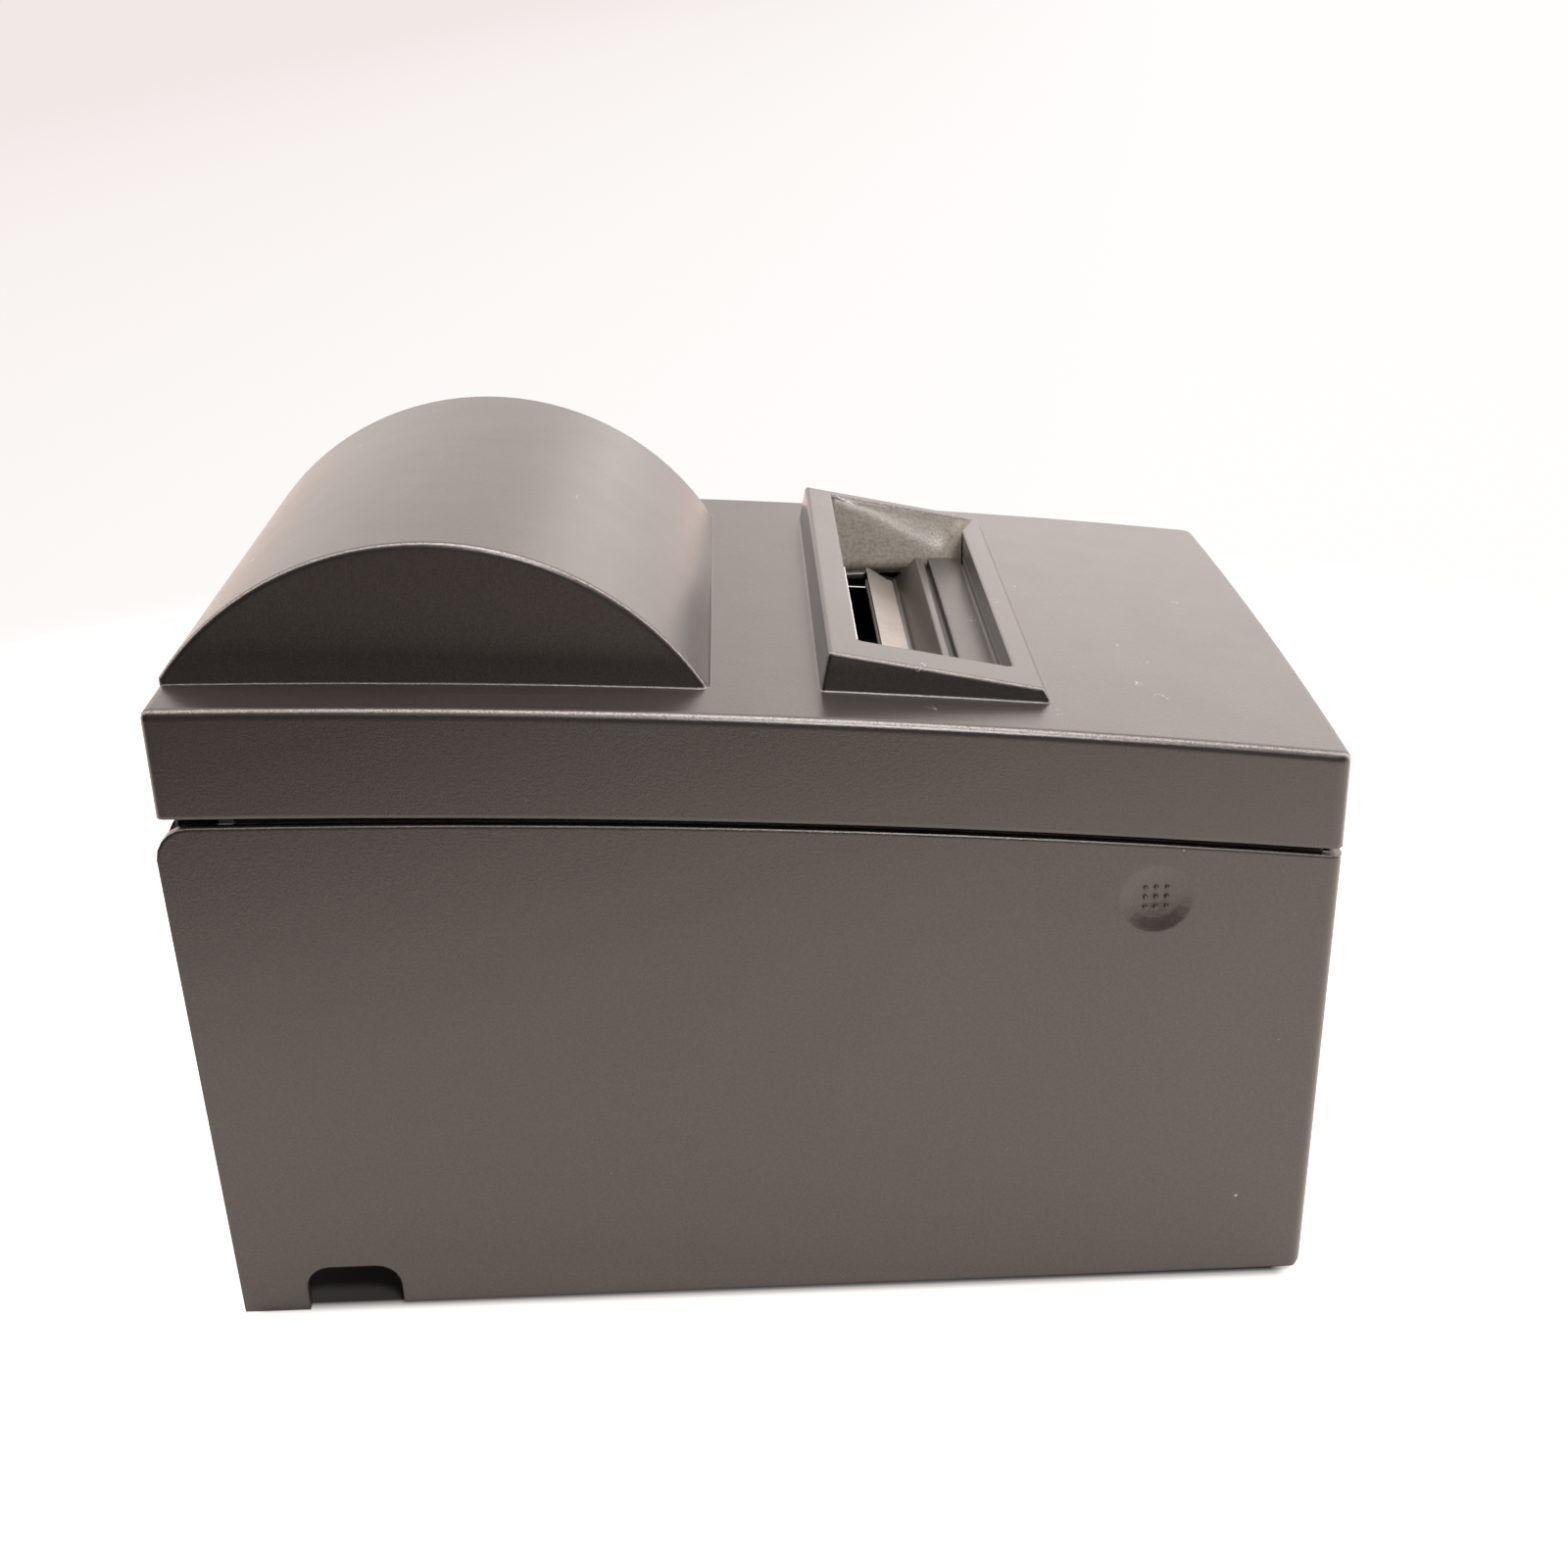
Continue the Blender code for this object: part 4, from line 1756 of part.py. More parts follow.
def make_connector_panel():
    """Steel panel at the cavity's front, pierced for the connectors."""
    back = x_at(CAVITY_FRONT_X) - SEAT_GAP
    panel = outline(
        "connector_panel",
        [
            rounded(
                (-PANEL_HALF_WIDTH, PANEL_BOTTOM_Z),
                (PANEL_HALF_WIDTH, CAVITY_TOP_Z - PANEL_THICK),
                PANEL_THICK,
                2,
            )
        ],
        back - PANEL_THICK,
        back,
        "YZ",
    )
    start = back - PANEL_THICK - OVERRUN
    cut(
        panel,
        outline("serial_hole", [serial_outline(JACK_CLEAR)], start, back + OVERRUN, "YZ"),
        box(
            "drawer_hole",
            (start, DRAWER_Y - DRAWER_SIZE / 2 - JACK_CLEAR, SERIAL_Z - DRAWER_HEIGHT / 2 - JACK_CLEAR),
            (back + OVERRUN, DRAWER_Y + DRAWER_SIZE / 2 + JACK_CLEAR, SERIAL_Z + DRAWER_HEIGHT / 2 + JACK_CLEAR),
        ),
        cylinder("power_hole", POWER_RADIUS + JACK_CLEAR, (start, POWER_Y, SERIAL_Z), 3 * OVERRUN, "X", 24),
    )
    return finish(panel, "steel")


def serial_outline(grow):
    """Five-sided outline of the interface connector's shell, narrower below."""
    half = SERIAL_HALF_WIDTH + grow
    up = SERIAL_HEIGHT / 2 + grow
    narrow = half - SERIAL_HEIGHT * SERIAL_SLOPE_SHARE
    return [
        (SERIAL_Y - narrow, SERIAL_Z - up),
        (SERIAL_Y + narrow, SERIAL_Z - up),
        (SERIAL_Y + half, SERIAL_Z + up),
        (SERIAL_Y - half, SERIAL_Z + up),
    ]


def make_connectors():
    """Interface, drawer and power connectors, open to the cavity."""
    panel_back = x_at(CAVITY_FRONT_X) - SEAT_GAP
    flange_low = panel_back + SEAT_GAP
    face = panel_back - PANEL_THICK - SERIAL_DEPTH
    serial = outline(
        "interface_connector", [serial_outline(0)], face, flange_low + PANEL_THICK / 2, "YZ"
    )
    flange = outline(
        "serial_flange",
        [
            rounded(
                (SERIAL_Y - SERIAL_FLANGE_HALF, SERIAL_Z - SERIAL_FLANGE_HEIGHT / 2),
                (SERIAL_Y + SERIAL_FLANGE_HALF, SERIAL_Z + SERIAL_FLANGE_HEIGHT / 2),
                PANEL_THICK,
                2,
            )
        ],
        flange_low,
        flange_low + PANEL_THICK,
        "YZ",
    )
    mouth = outline(
        "serial_mouth", [serial_outline(-SERIAL_WALL)], face - OVERRUN, face + SERIAL_DEPTH - SERIAL_WALL, "YZ"
    )
    finish(cut(join(serial, flange), mouth), "strip_steel")
    drawer_face = panel_back - PANEL_THICK - SERIAL_WALL
    drawer = box(
        "drawer_jack",
        (drawer_face, DRAWER_Y - DRAWER_SIZE / 2, SERIAL_Z - DRAWER_HEIGHT / 2),
        (drawer_face + DRAWER_DEPTH, DRAWER_Y + DRAWER_SIZE / 2, SERIAL_Z + DRAWER_HEIGHT / 2),
    )
    socket = (
        ("drawer_mouth", DRAWER_MOUTH / 2, -DRAWER_MOUTH_HEIGHT / 2, DRAWER_MOUTH_HEIGHT / 2),
        ("drawer_tab", DRAWER_TAB / 2, -DRAWER_HEIGHT / 2 + SERIAL_WALL, 0),
    )
    for name, half, low, high in socket:
        cut(
            drawer,
            box(
                name,
                (drawer_face - OVERRUN, DRAWER_Y - half, SERIAL_Z + low),
                (drawer_face + DRAWER_DEPTH - 2 * SERIAL_WALL, DRAWER_Y + half, SERIAL_Z + high),
            ),
        )
    finish(drawer, "tray_plastic")
    power_face = panel_back - PANEL_THICK - SERIAL_WALL
    power = cylinder("power_jack", POWER_RADIUS, (power_face, POWER_Y, SERIAL_Z), POWER_DEPTH, "X", 24)
    power_flange = cylinder(
        "power_flange", POWER_RADIUS + POWER_FLANGE, (flange_low, POWER_Y, SERIAL_Z), POWER_FLANGE, "X", 24
    )
    power_mouth = cylinder(
        "power_mouth",
        POWER_MOUTH_RADIUS,
        (power_face - OVERRUN, POWER_Y, SERIAL_Z),
        OVERRUN + POWER_DEPTH - 2 * SERIAL_WALL,
        "X",
        20,
    )
    finish(cut(join(power, power_flange), power_mouth), "tray_plastic", True)


def lamp_bar(name, lamp, radius, extra):
    """Round light guide of one lamp, or with extra length the hole that it sits in."""
    across = LAMP_Y + lamp * LAMP_PITCH
    start = control_face() + LAMP_PROUD - LAMP_LENGTH - extra
    return cylinder(name, radius, (start, across, CONTROL_Z), LAMP_LENGTH + 2 * extra, "X", 14)


def make_controls():
    """Front panel with its lamps and the sprung feed button."""
    face = control_face()
    panel = outline("control_panel", [control_outline(0)], face - CONTROL_THICK, face, "YZ")
    hole = outline("panel_button_hole", [button_outline(RUN_GAP)], face - OVERRUN, face + OVERRUN, "YZ")
    cut(panel, hole)
    for lamp, (name, skin) in enumerate(
        (("power_lamp", "green_lamp"), ("error_lamp", "red_lamp"), ("paper_lamp", "red_lamp"))
    ):
        cut(panel, lamp_bar(name + "_hole", lamp, LAMP_RADIUS + SEAT_GAP, OVERRUN))
        finish(lamp_bar(name, lamp, LAMP_RADIUS, 0), skin, True)
    finish(panel, "tray_plastic")
    front = face + BUTTON_PROUD
    back = face - CONTROL_THICK - SEAT_GAP
    button = outline("feed_button", [button_outline(0)], back - BUTTON_FLANGE / 2, front, "YZ")
    flange = outline("button_flange", [button_outline(BUTTON_FLANGE)], back - BUTTON_FLANGE, back, "YZ")
    stem = cylinder(
        "button_stem",
        BUTTON_FLANGE,
        (back - BUTTON_FLANGE - BUTTON_STEM, BUTTON_Y, CONTROL_Z),
        BUTTON_STEM + BUTTON_FLANGE / 2,
        "X",
        16,
    )
    join(button, flange, stem)
    finish(pivot(button, (front, BUTTON_Y, CONTROL_Z)), "button_plastic", True)


def switch_face():
    return front_face(SWITCH_Z) + bow_at(SWITCH_Y) + SWITCH_PROUD


def make_switch():
    """Rocker switch and its housing in the front wall."""
    face = switch_face()
    back = face - SWITCH_BODY_DEPTH
    housing = outline("switch_housing", [switch_outline(SWITCH_BEZEL)], back, face, "YZ")
    hollow = outline("switch_hollow", [switch_outline(0)], back + SWITCH_BEZEL, face + OVERRUN, "YZ")
    place = (face - ROCKER_PIVOT, SWITCH_Y, SWITCH_Z)
    pin_reach = SWITCH_HALF_WIDTH + SWITCH_BEZEL / 2
    bore_reach = pin_reach + SEAT_GAP
    bore = cylinder(
        "rocker_bore",
        ROCKER_PIN + RUN_GAP,
        (place[0], SWITCH_Y - bore_reach, SWITCH_Z),
        2 * bore_reach,
        "Y",
        20,
    )
    cut(housing, hollow, bore)
    finish(housing, "tray_plastic")
    half = SWITCH_HALF_WIDTH - SEAT_GAP
    front = place[0] + ROCKER_PIVOT - SEAT_GAP
    points = [
        (place[0] - ROCKER_DEPTH / 2, SWITCH_Z - ROCKER_HALF_HEIGHT / 2),
        (front, SWITCH_Z - ROCKER_HALF_HEIGHT),
        (front - ROCKER_DIP, SWITCH_Z),
        (front, SWITCH_Z + ROCKER_HALF_HEIGHT),
        (place[0] - ROCKER_DEPTH / 2, SWITCH_Z + ROCKER_HALF_HEIGHT / 2),
    ]
    rocker = outline("power_switch", [points], SWITCH_Y - half, SWITCH_Y + half)
    pin = cylinder(
        "rocker_pin", ROCKER_PIN, (place[0], SWITCH_Y - pin_reach, SWITCH_Z), 2 * pin_reach, "Y", 20
    )
    join(rocker, pin)
    pivot(rocker, place)
    pin.data.transform(Matrix.Translation(-Vector(place)))
    pin.parent = rocker
    rocker.rotation_euler = (0, math.radians(ROCKER_ANGLE), 0)
    return finish(rocker, "tray_plastic")


def make_materials():
    material("case_plastic", (0.105, 0.094, 0.086), 0.52)
    material("tray_plastic", (0.05, 0.047, 0.045), 0.55)
    material("dark_plastic", (0.028, 0.028, 0.03), 0.6)
    material("lever_plastic", (0.35, 0.36, 0.36), 0.5)
    material("gear_plastic", (0.78, 0.77, 0.72), 0.45)
    material("button_plastic", (0.2, 0.2, 0.2), 0.5)
    material("strip_steel", (0.72, 0.73, 0.74), 0.3, 1.0)
    material("steel", (0.58, 0.59, 0.6), 0.38, 1.0)
    material("motor_steel", (0.4, 0.41, 0.42), 0.42, 1.0)
    material("brass", (0.72, 0.55, 0.25), 0.35, 1.0)
    material("rubber", (0.03, 0.03, 0.03), 0.85)
    material("ribbon_ink", (0.04, 0.02, 0.05), 0.9)
    material("circuit_board", (0.02, 0.13, 0.05), 0.5)
    material("green_lamp", (0.1, 0.5, 0.12), 0.3)
    material("red_lamp", (0.55, 0.04, 0.03), 0.3)


def build():
    make_materials()
    make_cover()
    make_window_tray()
    make_guide_strip()
    make_tear_bar()
    make_case()
    for end, along in (("rear", FOOT_REAR_X), ("front", FOOT_FRONT_X)):
        for side, across in (("left", -FOOT_Y), ("right", FOOT_Y)):
            make_foot("foot_%s_%s" % (end, side), along, across)
    for side, sign in (("left", -1), ("right", 1)):
        make_hinge_pin("hinge_pin_" + side, sign)
        make_plate("side_plate_" + side, sign)
    make_bucket()
    make_lever()
    make_base_plate()
    make_feed()
    make_feed_motor()
    make_shelf()
    make_carriage_motor()
    make_pulley("drive_pulley", -PULLEY_Y)
    make_pulley("idler_pulley", PULLEY_Y)
    make_belt()
    make_shaft()
    make_rail()
    make_carriage()
    make_head()
    make_platen()
    make_cassette()
    make_ribbon()
    make_knob()
    make_board()
    make_connector_panel()
    make_connectors()
    make_controls()
    make_switch()


build()
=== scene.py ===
"""The looks of a kitchen receipt printer: materials, small fittings, light and camera.

The frame is the part's own: +X is the printer's front, -Y is the side that the photograph shows,
and +Z is up. The fittings are given in millimetres, and the studio in metres.
"""

import json
import math

import bmesh
import bpy
from mathutils import Matrix, Vector
from mathutils.bvhtree import BVHTree


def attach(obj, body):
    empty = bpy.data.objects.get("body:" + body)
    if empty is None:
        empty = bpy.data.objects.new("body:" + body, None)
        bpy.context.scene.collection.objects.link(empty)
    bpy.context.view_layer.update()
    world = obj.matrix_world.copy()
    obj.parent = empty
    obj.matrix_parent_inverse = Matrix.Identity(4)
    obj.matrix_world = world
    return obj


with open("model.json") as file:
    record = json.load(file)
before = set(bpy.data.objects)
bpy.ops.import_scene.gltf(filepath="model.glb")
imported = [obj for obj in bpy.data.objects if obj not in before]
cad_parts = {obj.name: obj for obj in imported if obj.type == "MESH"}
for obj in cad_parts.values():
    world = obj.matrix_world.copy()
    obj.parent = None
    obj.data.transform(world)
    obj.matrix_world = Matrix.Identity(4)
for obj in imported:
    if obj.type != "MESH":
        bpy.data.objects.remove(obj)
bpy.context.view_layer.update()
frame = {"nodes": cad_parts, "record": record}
NODES = frame["nodes"]
MM = 0.001


# ---------------------------------------------------------------- shader helpers
class Graph:
    """A shader's node tree, built up node by node in one set of coordinates."""

    # the sockets of a Mix node by what it mixes: first, second and result
    MIX_SOCKETS = {"FLOAT": (2, 3, 0), "VECTOR": (4, 5, 1), "RGBA": (6, 7, 2)}

    def __init__(self, tree, coordinates):
        self.tree = tree
        self.place = self.node("ShaderNodeTexCoord")[coordinates]

    def node(self, kind, inputs=None, **settings):
        """Add a node with its inputs and settings, and give its outputs."""
        made = self.tree.nodes.new(kind)
        for key, value in settings.items():
            setattr(made, key, value)
        for key, value in (inputs or {}).items():
            self.feed(made.inputs[key], value)
        return made.outputs

    def feed(self, socket, value):
        """Link an output to a socket, or set the socket's own value."""
        if isinstance(value, bpy.types.NodeSocket):
            self.tree.links.new(value, socket)
        else:
            socket.default_value = value

    def noise(self, scale, detail=2.0, rough=0.5, place=None):
        inputs = {"Vector": place or self.place, "Scale": scale, "Detail": detail,
                  "Roughness": rough}
        return self.node("ShaderNodeTexNoise", inputs)["Fac"]

    def cells(self, scale, feature="F1", place=None, randomness=1.0):
        inputs = {"Vector": place or self.place, "Scale": scale, "Randomness": randomness}
        return self.node("ShaderNodeTexVoronoi", inputs, feature=feature)

    def stretch(self, scale, turn=(0, 0, 0), shift=(0, 0, 0)):
        inputs = {"Vector": self.place, "Scale": scale, "Rotation": turn, "Location": shift}
        return self.node("ShaderNodeMapping", inputs)["Vector"]

    def split(self, vector):
        return self.node("ShaderNodeSeparateXYZ", {"Vector": vector})

    def channel(self, colour, name):
        return self.node("ShaderNodeSeparateColor", {"Color": colour})[name]

    def math(self, kind, a, b=0.0, clamp=False):
        return self.node("ShaderNodeMath", {0: a, 1: b}, operation=kind, use_clamp=clamp)[0]

    def product(self, first, *others):
        for other in others:
            first = self.math("MULTIPLY", first, other)
        return first

    def absolute(self, value):
        return self.math("ABSOLUTE", value)

    def vector(self, kind, a, b=None):
        """Vector arithmetic: a vector, or a number for a length or a dot product."""
        inputs = {0: a} if b is None else {0: a, 1: b}
        out = "Value" if kind in ("LENGTH", "DOT_PRODUCT") else "Vector"
        return self.node("ShaderNodeVectorMath", inputs, operation=kind)[out]

    def span(self, value, low, high, to_low=0.0, to_high=1.0):
        """A value carried from one range to another, and held at the new range's ends."""
        inputs = {"Value": value, "From Min": low, "From Max": high, "To Min": to_low,
                  "To Max": to_high}
        return self.node("ShaderNodeMapRange", inputs)["Result"]

    def blend(self, kind, share, a, b):
        """Two numbers, vectors or colours mixed by a share."""
        made = self.tree.nodes.new("ShaderNodeMix")
        made.data_type = kind
        first, second, result = self.MIX_SOCKETS[kind]
        for index, value in ((0, share), (first, a), (second, b)):
            self.feed(made.inputs[index], value)
        return made.outputs[result]

    def mix(self, share, a, b):
        return self.blend("RGBA", share, a, b)

    def bump(self, height, distance, strength, under=None):
        inputs = {"Height": height, "Distance": distance, "Strength": strength}
        if under is not None:
            inputs["Normal"] = under
        return self.node("ShaderNodeBump", inputs)["Normal"]


class Shader(Graph):
    """One procedural material in the object's own coordinates."""

    def __init__(self, name):
        self.material = bpy.data.materials.new(name)
        self.material.use_nodes = True
        super().__init__(self.material.node_tree, "Object")
        self.bsdf = self.tree.nodes["Principled BSDF"]

    def set(self, **values):
        """Feed the surface's sockets, named with _ for each space."""
        for key, value in values.items():
            self.feed(self.bsdf.inputs[key.replace("_", " ")], value)


def srgb(red, green, blue):
    """A colour given as 0 to 255 display values, as the linear colour that a shader takes."""
    line = [c / 255 for c in (red, green, blue)]
    return [c / 12.92 if c <= 0.04045 else ((c + 0.055) / 1.055) ** 2.4 for c in line] + [1.0]


def scaled(colour, factor, lift=0.0):
    """A colour made darker or paler, and held at white."""
    return [min(1.0, c * factor + lift) for c in colour[:3]] + [1.0]


# ---------------------------------------------------------------- plastics
CASE = {
    "deep": srgb(50, 45, 42),
    "plain": srgb(54, 49, 46),
    "grain": srgb(80, 73, 68),
    # colours painted on the case's edges: painted highlights on the edges that turn up and along
    # the long outer edges, and painted shade on the edges that turn down and under the long edges'
    # highlight
    "upward_edge_highlight": srgb(170, 161, 155),
    "lit_edge": srgb(222, 212, 206),
    "shaded_edge": srgb(30, 28, 26),
    "dust": srgb(176, 169, 157),
    "mark": srgb(196, 188, 182),
}
CASE_EDGE = 1.1 * MM
CASE_GRAIN, CASE_COAT_GRAIN = 0.06 * MM, 0.05 * MM
SMALL_EDGE = 0.25 * MM
SMALL_GRAIN = 0.03 * MM
BEVEL_SAMPLES = 8

# the cover's roll hump, in millimetres: its arc's centre and radius, and where the arc ends
HUMP_CENTRE = (-67.95, 0.0, 108.45)
HUMP_RADIUS = 68.0
HUMP_SIDE = 63.9
HUMP_LOW = 129
HUMP_FRONT = -6

# where the cover's outer faces start, whose long edges catch the light, in millimetres
OUTER_SIDE = 56
OUTER_LOW = 104


def flecks(sh, scale, share, size):
    """Sparse dust specks: small spots in a few of the cells."""
    cell = sh.cells(scale)
    spot = sh.span(cell["Distance"], size, size * 0.4)
    pick = sh.math("LESS_THAN", sh.channel(cell["Color"], "Red"), share)
    return sh.math("MULTIPLY", spot, pick, clamp=True)


def hairs(sh, scale, share, bend, width):
    """Sparse lint: short pieces of thin arcs in a few of the cells, bent by a noise."""
    sway = sh.node("ShaderNodeTexNoise",
                   {"Vector": sh.place, "Scale": scale * 2.2, "Detail": 1.0})["Color"]
    sway = sh.vector("MULTIPLY", sway, [0.7 / scale] * 3)
    cell = sh.cells(scale, place=sh.vector("ADD", sh.place, sway))
    ring = sh.absolute(sh.math("SUBTRACT", cell["Distance"], bend))
    ring = sh.span(ring, width, width * 0.4)
    pick = sh.math("LESS_THAN", sh.channel(cell["Color"], "Green"), share)
    ring = sh.math("MULTIPLY", ring, pick, clamp=True)
    cut = sh.span(sh.noise(scale * 1.3, detail=1.0), 0.61, 0.66)
    return sh.math("MULTIPLY", ring, cut, clamp=True)


def scratches(sh, turn, along, across, cut, seed):
    """Fine straight scratches: very long, thin noise cells cut near their top."""
    place = sh.stretch((along, across, along), turn, seed)
    return sh.span(sh.noise(1.0, detail=2.0, rough=0.6, place=place), cut, cut + 0.03)


def edges(sh, radius):
    """Shares of the outer edges that turn up and that turn down, the masks for painted highlight
    and painted shade, and the rounded normal.
    """
    soft = sh.node("ShaderNodeBevel", {"Radius": radius}, samples=BEVEL_SAMPLES)["Normal"]
    true = sh.node("ShaderNodeNewGeometry")["Normal"]
    turn = sh.math("SUBTRACT", 1.0, sh.vector("DOT_PRODUCT", soft, true))
    share = sh.span(turn, 0.02, 0.16)
    height = sh.split(soft)["Z"]
    above = sh.product(share, sh.span(height, 0.3, 0.6))
    below = sh.product(share, sh.span(height, 0.35, 0.15))
    return above, below, soft


def hump_round(sh, soft):
    """The rounded normal, with the roll hump's facets turned to its true arc."""
    away = sh.vector("ADD", sh.place, [-c * MM for c in HUMP_CENTRE])
    away = sh.vector("MULTIPLY", away, (1, 0, 1))
    off = sh.absolute(sh.math("SUBTRACT", sh.vector("LENGTH", away), HUMP_RADIUS * MM))
    place = sh.split(sh.place)
    share = sh.product(
        sh.span(off, 0.5 * MM, 0.3 * MM),
        sh.span(sh.absolute(place["Y"]), HUMP_SIDE * MM, (HUMP_SIDE - 1) * MM),
        sh.span(place["Z"], HUMP_LOW * MM, (HUMP_LOW + 1) * MM),
        sh.span(place["X"], HUMP_FRONT * MM, (HUMP_FRONT - 1) * MM))
    turned_away = sh.node("ShaderNodeVectorTransform", {"Vector": away}, vector_type="NORMAL",
                          convert_from="OBJECT", convert_to="WORLD")["Vector"]
    arc = sh.vector("NORMALIZE", turned_away)
    return sh.vector("NORMALIZE", sh.blend("VECTOR", share, soft, arc))


def case_edges(sh, base, grain):
    """The case's colour with painted highlights on its upward and long outer edges, painted shade
    on its downward edges and below the long edges' highlight, and its rounded normal.
    """
    above, below, soft = edges(sh, CASE_EDGE)
    soft = hump_round(sh, soft)
    turn, place = sh.split(soft), sh.split(sh.place)
    lean = sh.absolute(turn["Y"])
    outer = sh.product(sh.span(sh.absolute(place["Y"]), OUTER_SIDE * MM, (OUTER_SIDE + 1) * MM),
                       sh.span(place["Z"], OUTER_LOW * MM, (OUTER_LOW + 2) * MM),
                       sh.span(turn["Z"], -0.1, 0.05))
    lit = sh.product(sh.span(lean, 0.3, 0.42), sh.span(lean, 0.72, 0.6), outer,
                     sh.span(grain, 0.35, 0.6, 0.25, 1.0))
    shaded = sh.product(sh.span(lean, 0.7, 0.8), sh.span(lean, 0.995, 0.96), outer)
    # the edges that turn up are made paler: a painted highlight
    base = sh.mix(sh.product(above, 0.4), base, CASE["upward_edge_highlight"])
    # the edges that turn down, and a band under the long edges' bright line, are made darker:
    # painted shade
    base = sh.mix(sh.product(sh.math("MAXIMUM", below, shaded), 0.75), base, CASE["shaded_edge"])
    # a grainy bright line along the long outer edges: a painted highlight
    return sh.mix(sh.math("MULTIPLY", lit, 0.9, clamp=True), base, CASE["lit_edge"]), soft


def make_case_plastic(name, rounded=True, dust=0.0):
    """Satin charcoal plastic: fine grain, faint clouds, lint and scratches, with painted highlights
    and painted shade on its edges when rounded.
    """
    sh = Shader(name)
    grain = sh.noise(2600.0, detail=2.0, rough=0.65)
    coarse = sh.noise(1100.0, detail=2.0, rough=0.6)
    pits = sh.cells(1500.0, "SMOOTH_F1")["Distance"]
    cloud = sh.noise(14.0, detail=4.0, rough=0.6)
    smudge = sh.noise(45.0, detail=5.0, rough=0.65)
    base = sh.mix(sh.span(cloud, 0.35, 0.65), CASE["deep"], CASE["plain"])
    base = sh.mix(sh.span(smudge, 0.5, 0.75, 0.0, 0.15), base, CASE["deep"])
    base = sh.mix(sh.span(grain, 0.35, 0.65, 0.0, 0.5), base, CASE["grain"])
    base = sh.mix(sh.span(coarse, 0.55, 0.3, 0.0, 0.35), base, CASE["deep"])
    if rounded:
        base, soft = case_edges(sh, base, grain)
    else:
        soft = sh.node("ShaderNodeNewGeometry")["Normal"]
    # the dust colour, asked for only by the window's far wall: there it is dust and painted light
    # in one, standing in for the light the wall catches
    base = sh.mix(sh.span(coarse, 0.3, 0.6, 0.6 * dust, dust), base, CASE["dust"])

    fine = scratches(sh, turn=(0.3, 0.1, 0.4), along=18.0, across=1600.0, cut=0.7,
                     seed=(0.2, 0.3, 0.1))
    worn = sh.math("MULTIPLY", fine, sh.span(cloud, 0.5, 0.6, 0.0, 0.14), clamp=True)
    lint = sh.math("ADD", flecks(sh, scale=170.0, share=0.06, size=0.05),
                   hairs(sh, scale=150.0, share=0.1, bend=0.3, width=0.015))
    marks = sh.math("ADD", sh.product(lint, 0.6), worn, clamp=True)
    base = sh.mix(marks, base, CASE["mark"])

    height = sh.math("ADD", grain, sh.product(pits, 0.6))
    dull = 0.35 * dust
    sh.set(Base_Color=base, Roughness=sh.span(smudge, 0.35, 0.7, 0.37 + dull, 0.41 + dull),
           Normal=sh.bump(height, CASE_GRAIN, 0.6, soft), IOR=1.5, Specular_IOR_Level=0.5,
           Coat_Weight=0.8 * (1 - dust), Coat_Roughness=0.24,
           Coat_Normal=sh.bump(height, CASE_COAT_GRAIN, 0.5, soft))
    return sh.material


def make_plastic(name, dark, light, rough=(0.42, 0.55)):
    """A moulded plastic with fine grain, faint clouds of darker and paler tone, dust, and a painted
    highlight on the edges that turn up.
    """
    sh = Shader(name)
    fine = sh.noise(3200.0, detail=2.0, rough=0.6)
    cloud = sh.noise(38.0, detail=4.0, rough=0.6)
    above, _, soft = edges(sh, SMALL_EDGE)
    dust = flecks(sh, scale=260.0, share=0.05, size=0.07)
    base = sh.mix(sh.span(cloud, 0.35, 0.65), dark, light)
    base = sh.mix(sh.span(fine, 0.4, 0.7, 0.0, 0.25), base, light)
    # the edges that turn up are made paler: a painted highlight
    base = sh.mix(sh.product(above, 0.3), base, scaled(light, 2.2, 0.02))
    base = sh.mix(sh.product(dust, 0.5), base, srgb(200, 195, 188))
    sh.set(Base_Color=base, Roughness=sh.span(cloud, 0.35, 0.7, *rough),
           Normal=sh.bump(fine, SMALL_GRAIN, 0.5, soft), Specular_IOR_Level=0.5)
    return sh.material


# ---------------------------------------------------------------- metals and the rest
def make_metal(name, colour, rough, brush):
    """Rolled or turned metal: fine streaks along one way and duller clouds."""
    sh = Shader(name)
    streak = sh.noise(1.0, detail=3.0, rough=0.6, place=sh.stretch(brush))
    cloud = sh.noise(60.0, detail=4.0, rough=0.6)
    base = sh.mix(sh.span(cloud, 0.35, 0.7), colour, scaled(colour, 0.75))
    base = sh.mix(sh.span(streak, 0.4, 0.7, 0.0, 0.2), base, scaled(colour, 0.6))
    shine = sh.math("ADD", sh.span(cloud, 0.3, 0.7, rough - 0.05, rough + 0.1),
                    sh.span(streak, 0.3, 0.7, 0.0, 0.1))
    sh.set(Base_Color=base, Metallic=1.0, Roughness=shine,
           Normal=sh.bump(streak, 0.01 * MM, 0.4))
    return sh.material


def make_rubber():
    """Matt black rubber with a dry, paler grain."""
    sh = Shader("rubber_matte")
    fine = sh.noise(2600.0, detail=3.0, rough=0.7)
    cloud = sh.noise(90.0, detail=4.0, rough=0.6)
    base = sh.mix(sh.span(cloud, 0.3, 0.7), srgb(34, 33, 33), srgb(52, 50, 49))
    base = sh.mix(sh.span(fine, 0.55, 0.75, 0.0, 0.3), base, srgb(96, 92, 88))
    sh.set(Base_Color=base, Roughness=sh.span(cloud, 0.3, 0.7, 0.7, 0.85),
           Normal=sh.bump(fine, 0.04 * MM, 0.5))
    return sh.material


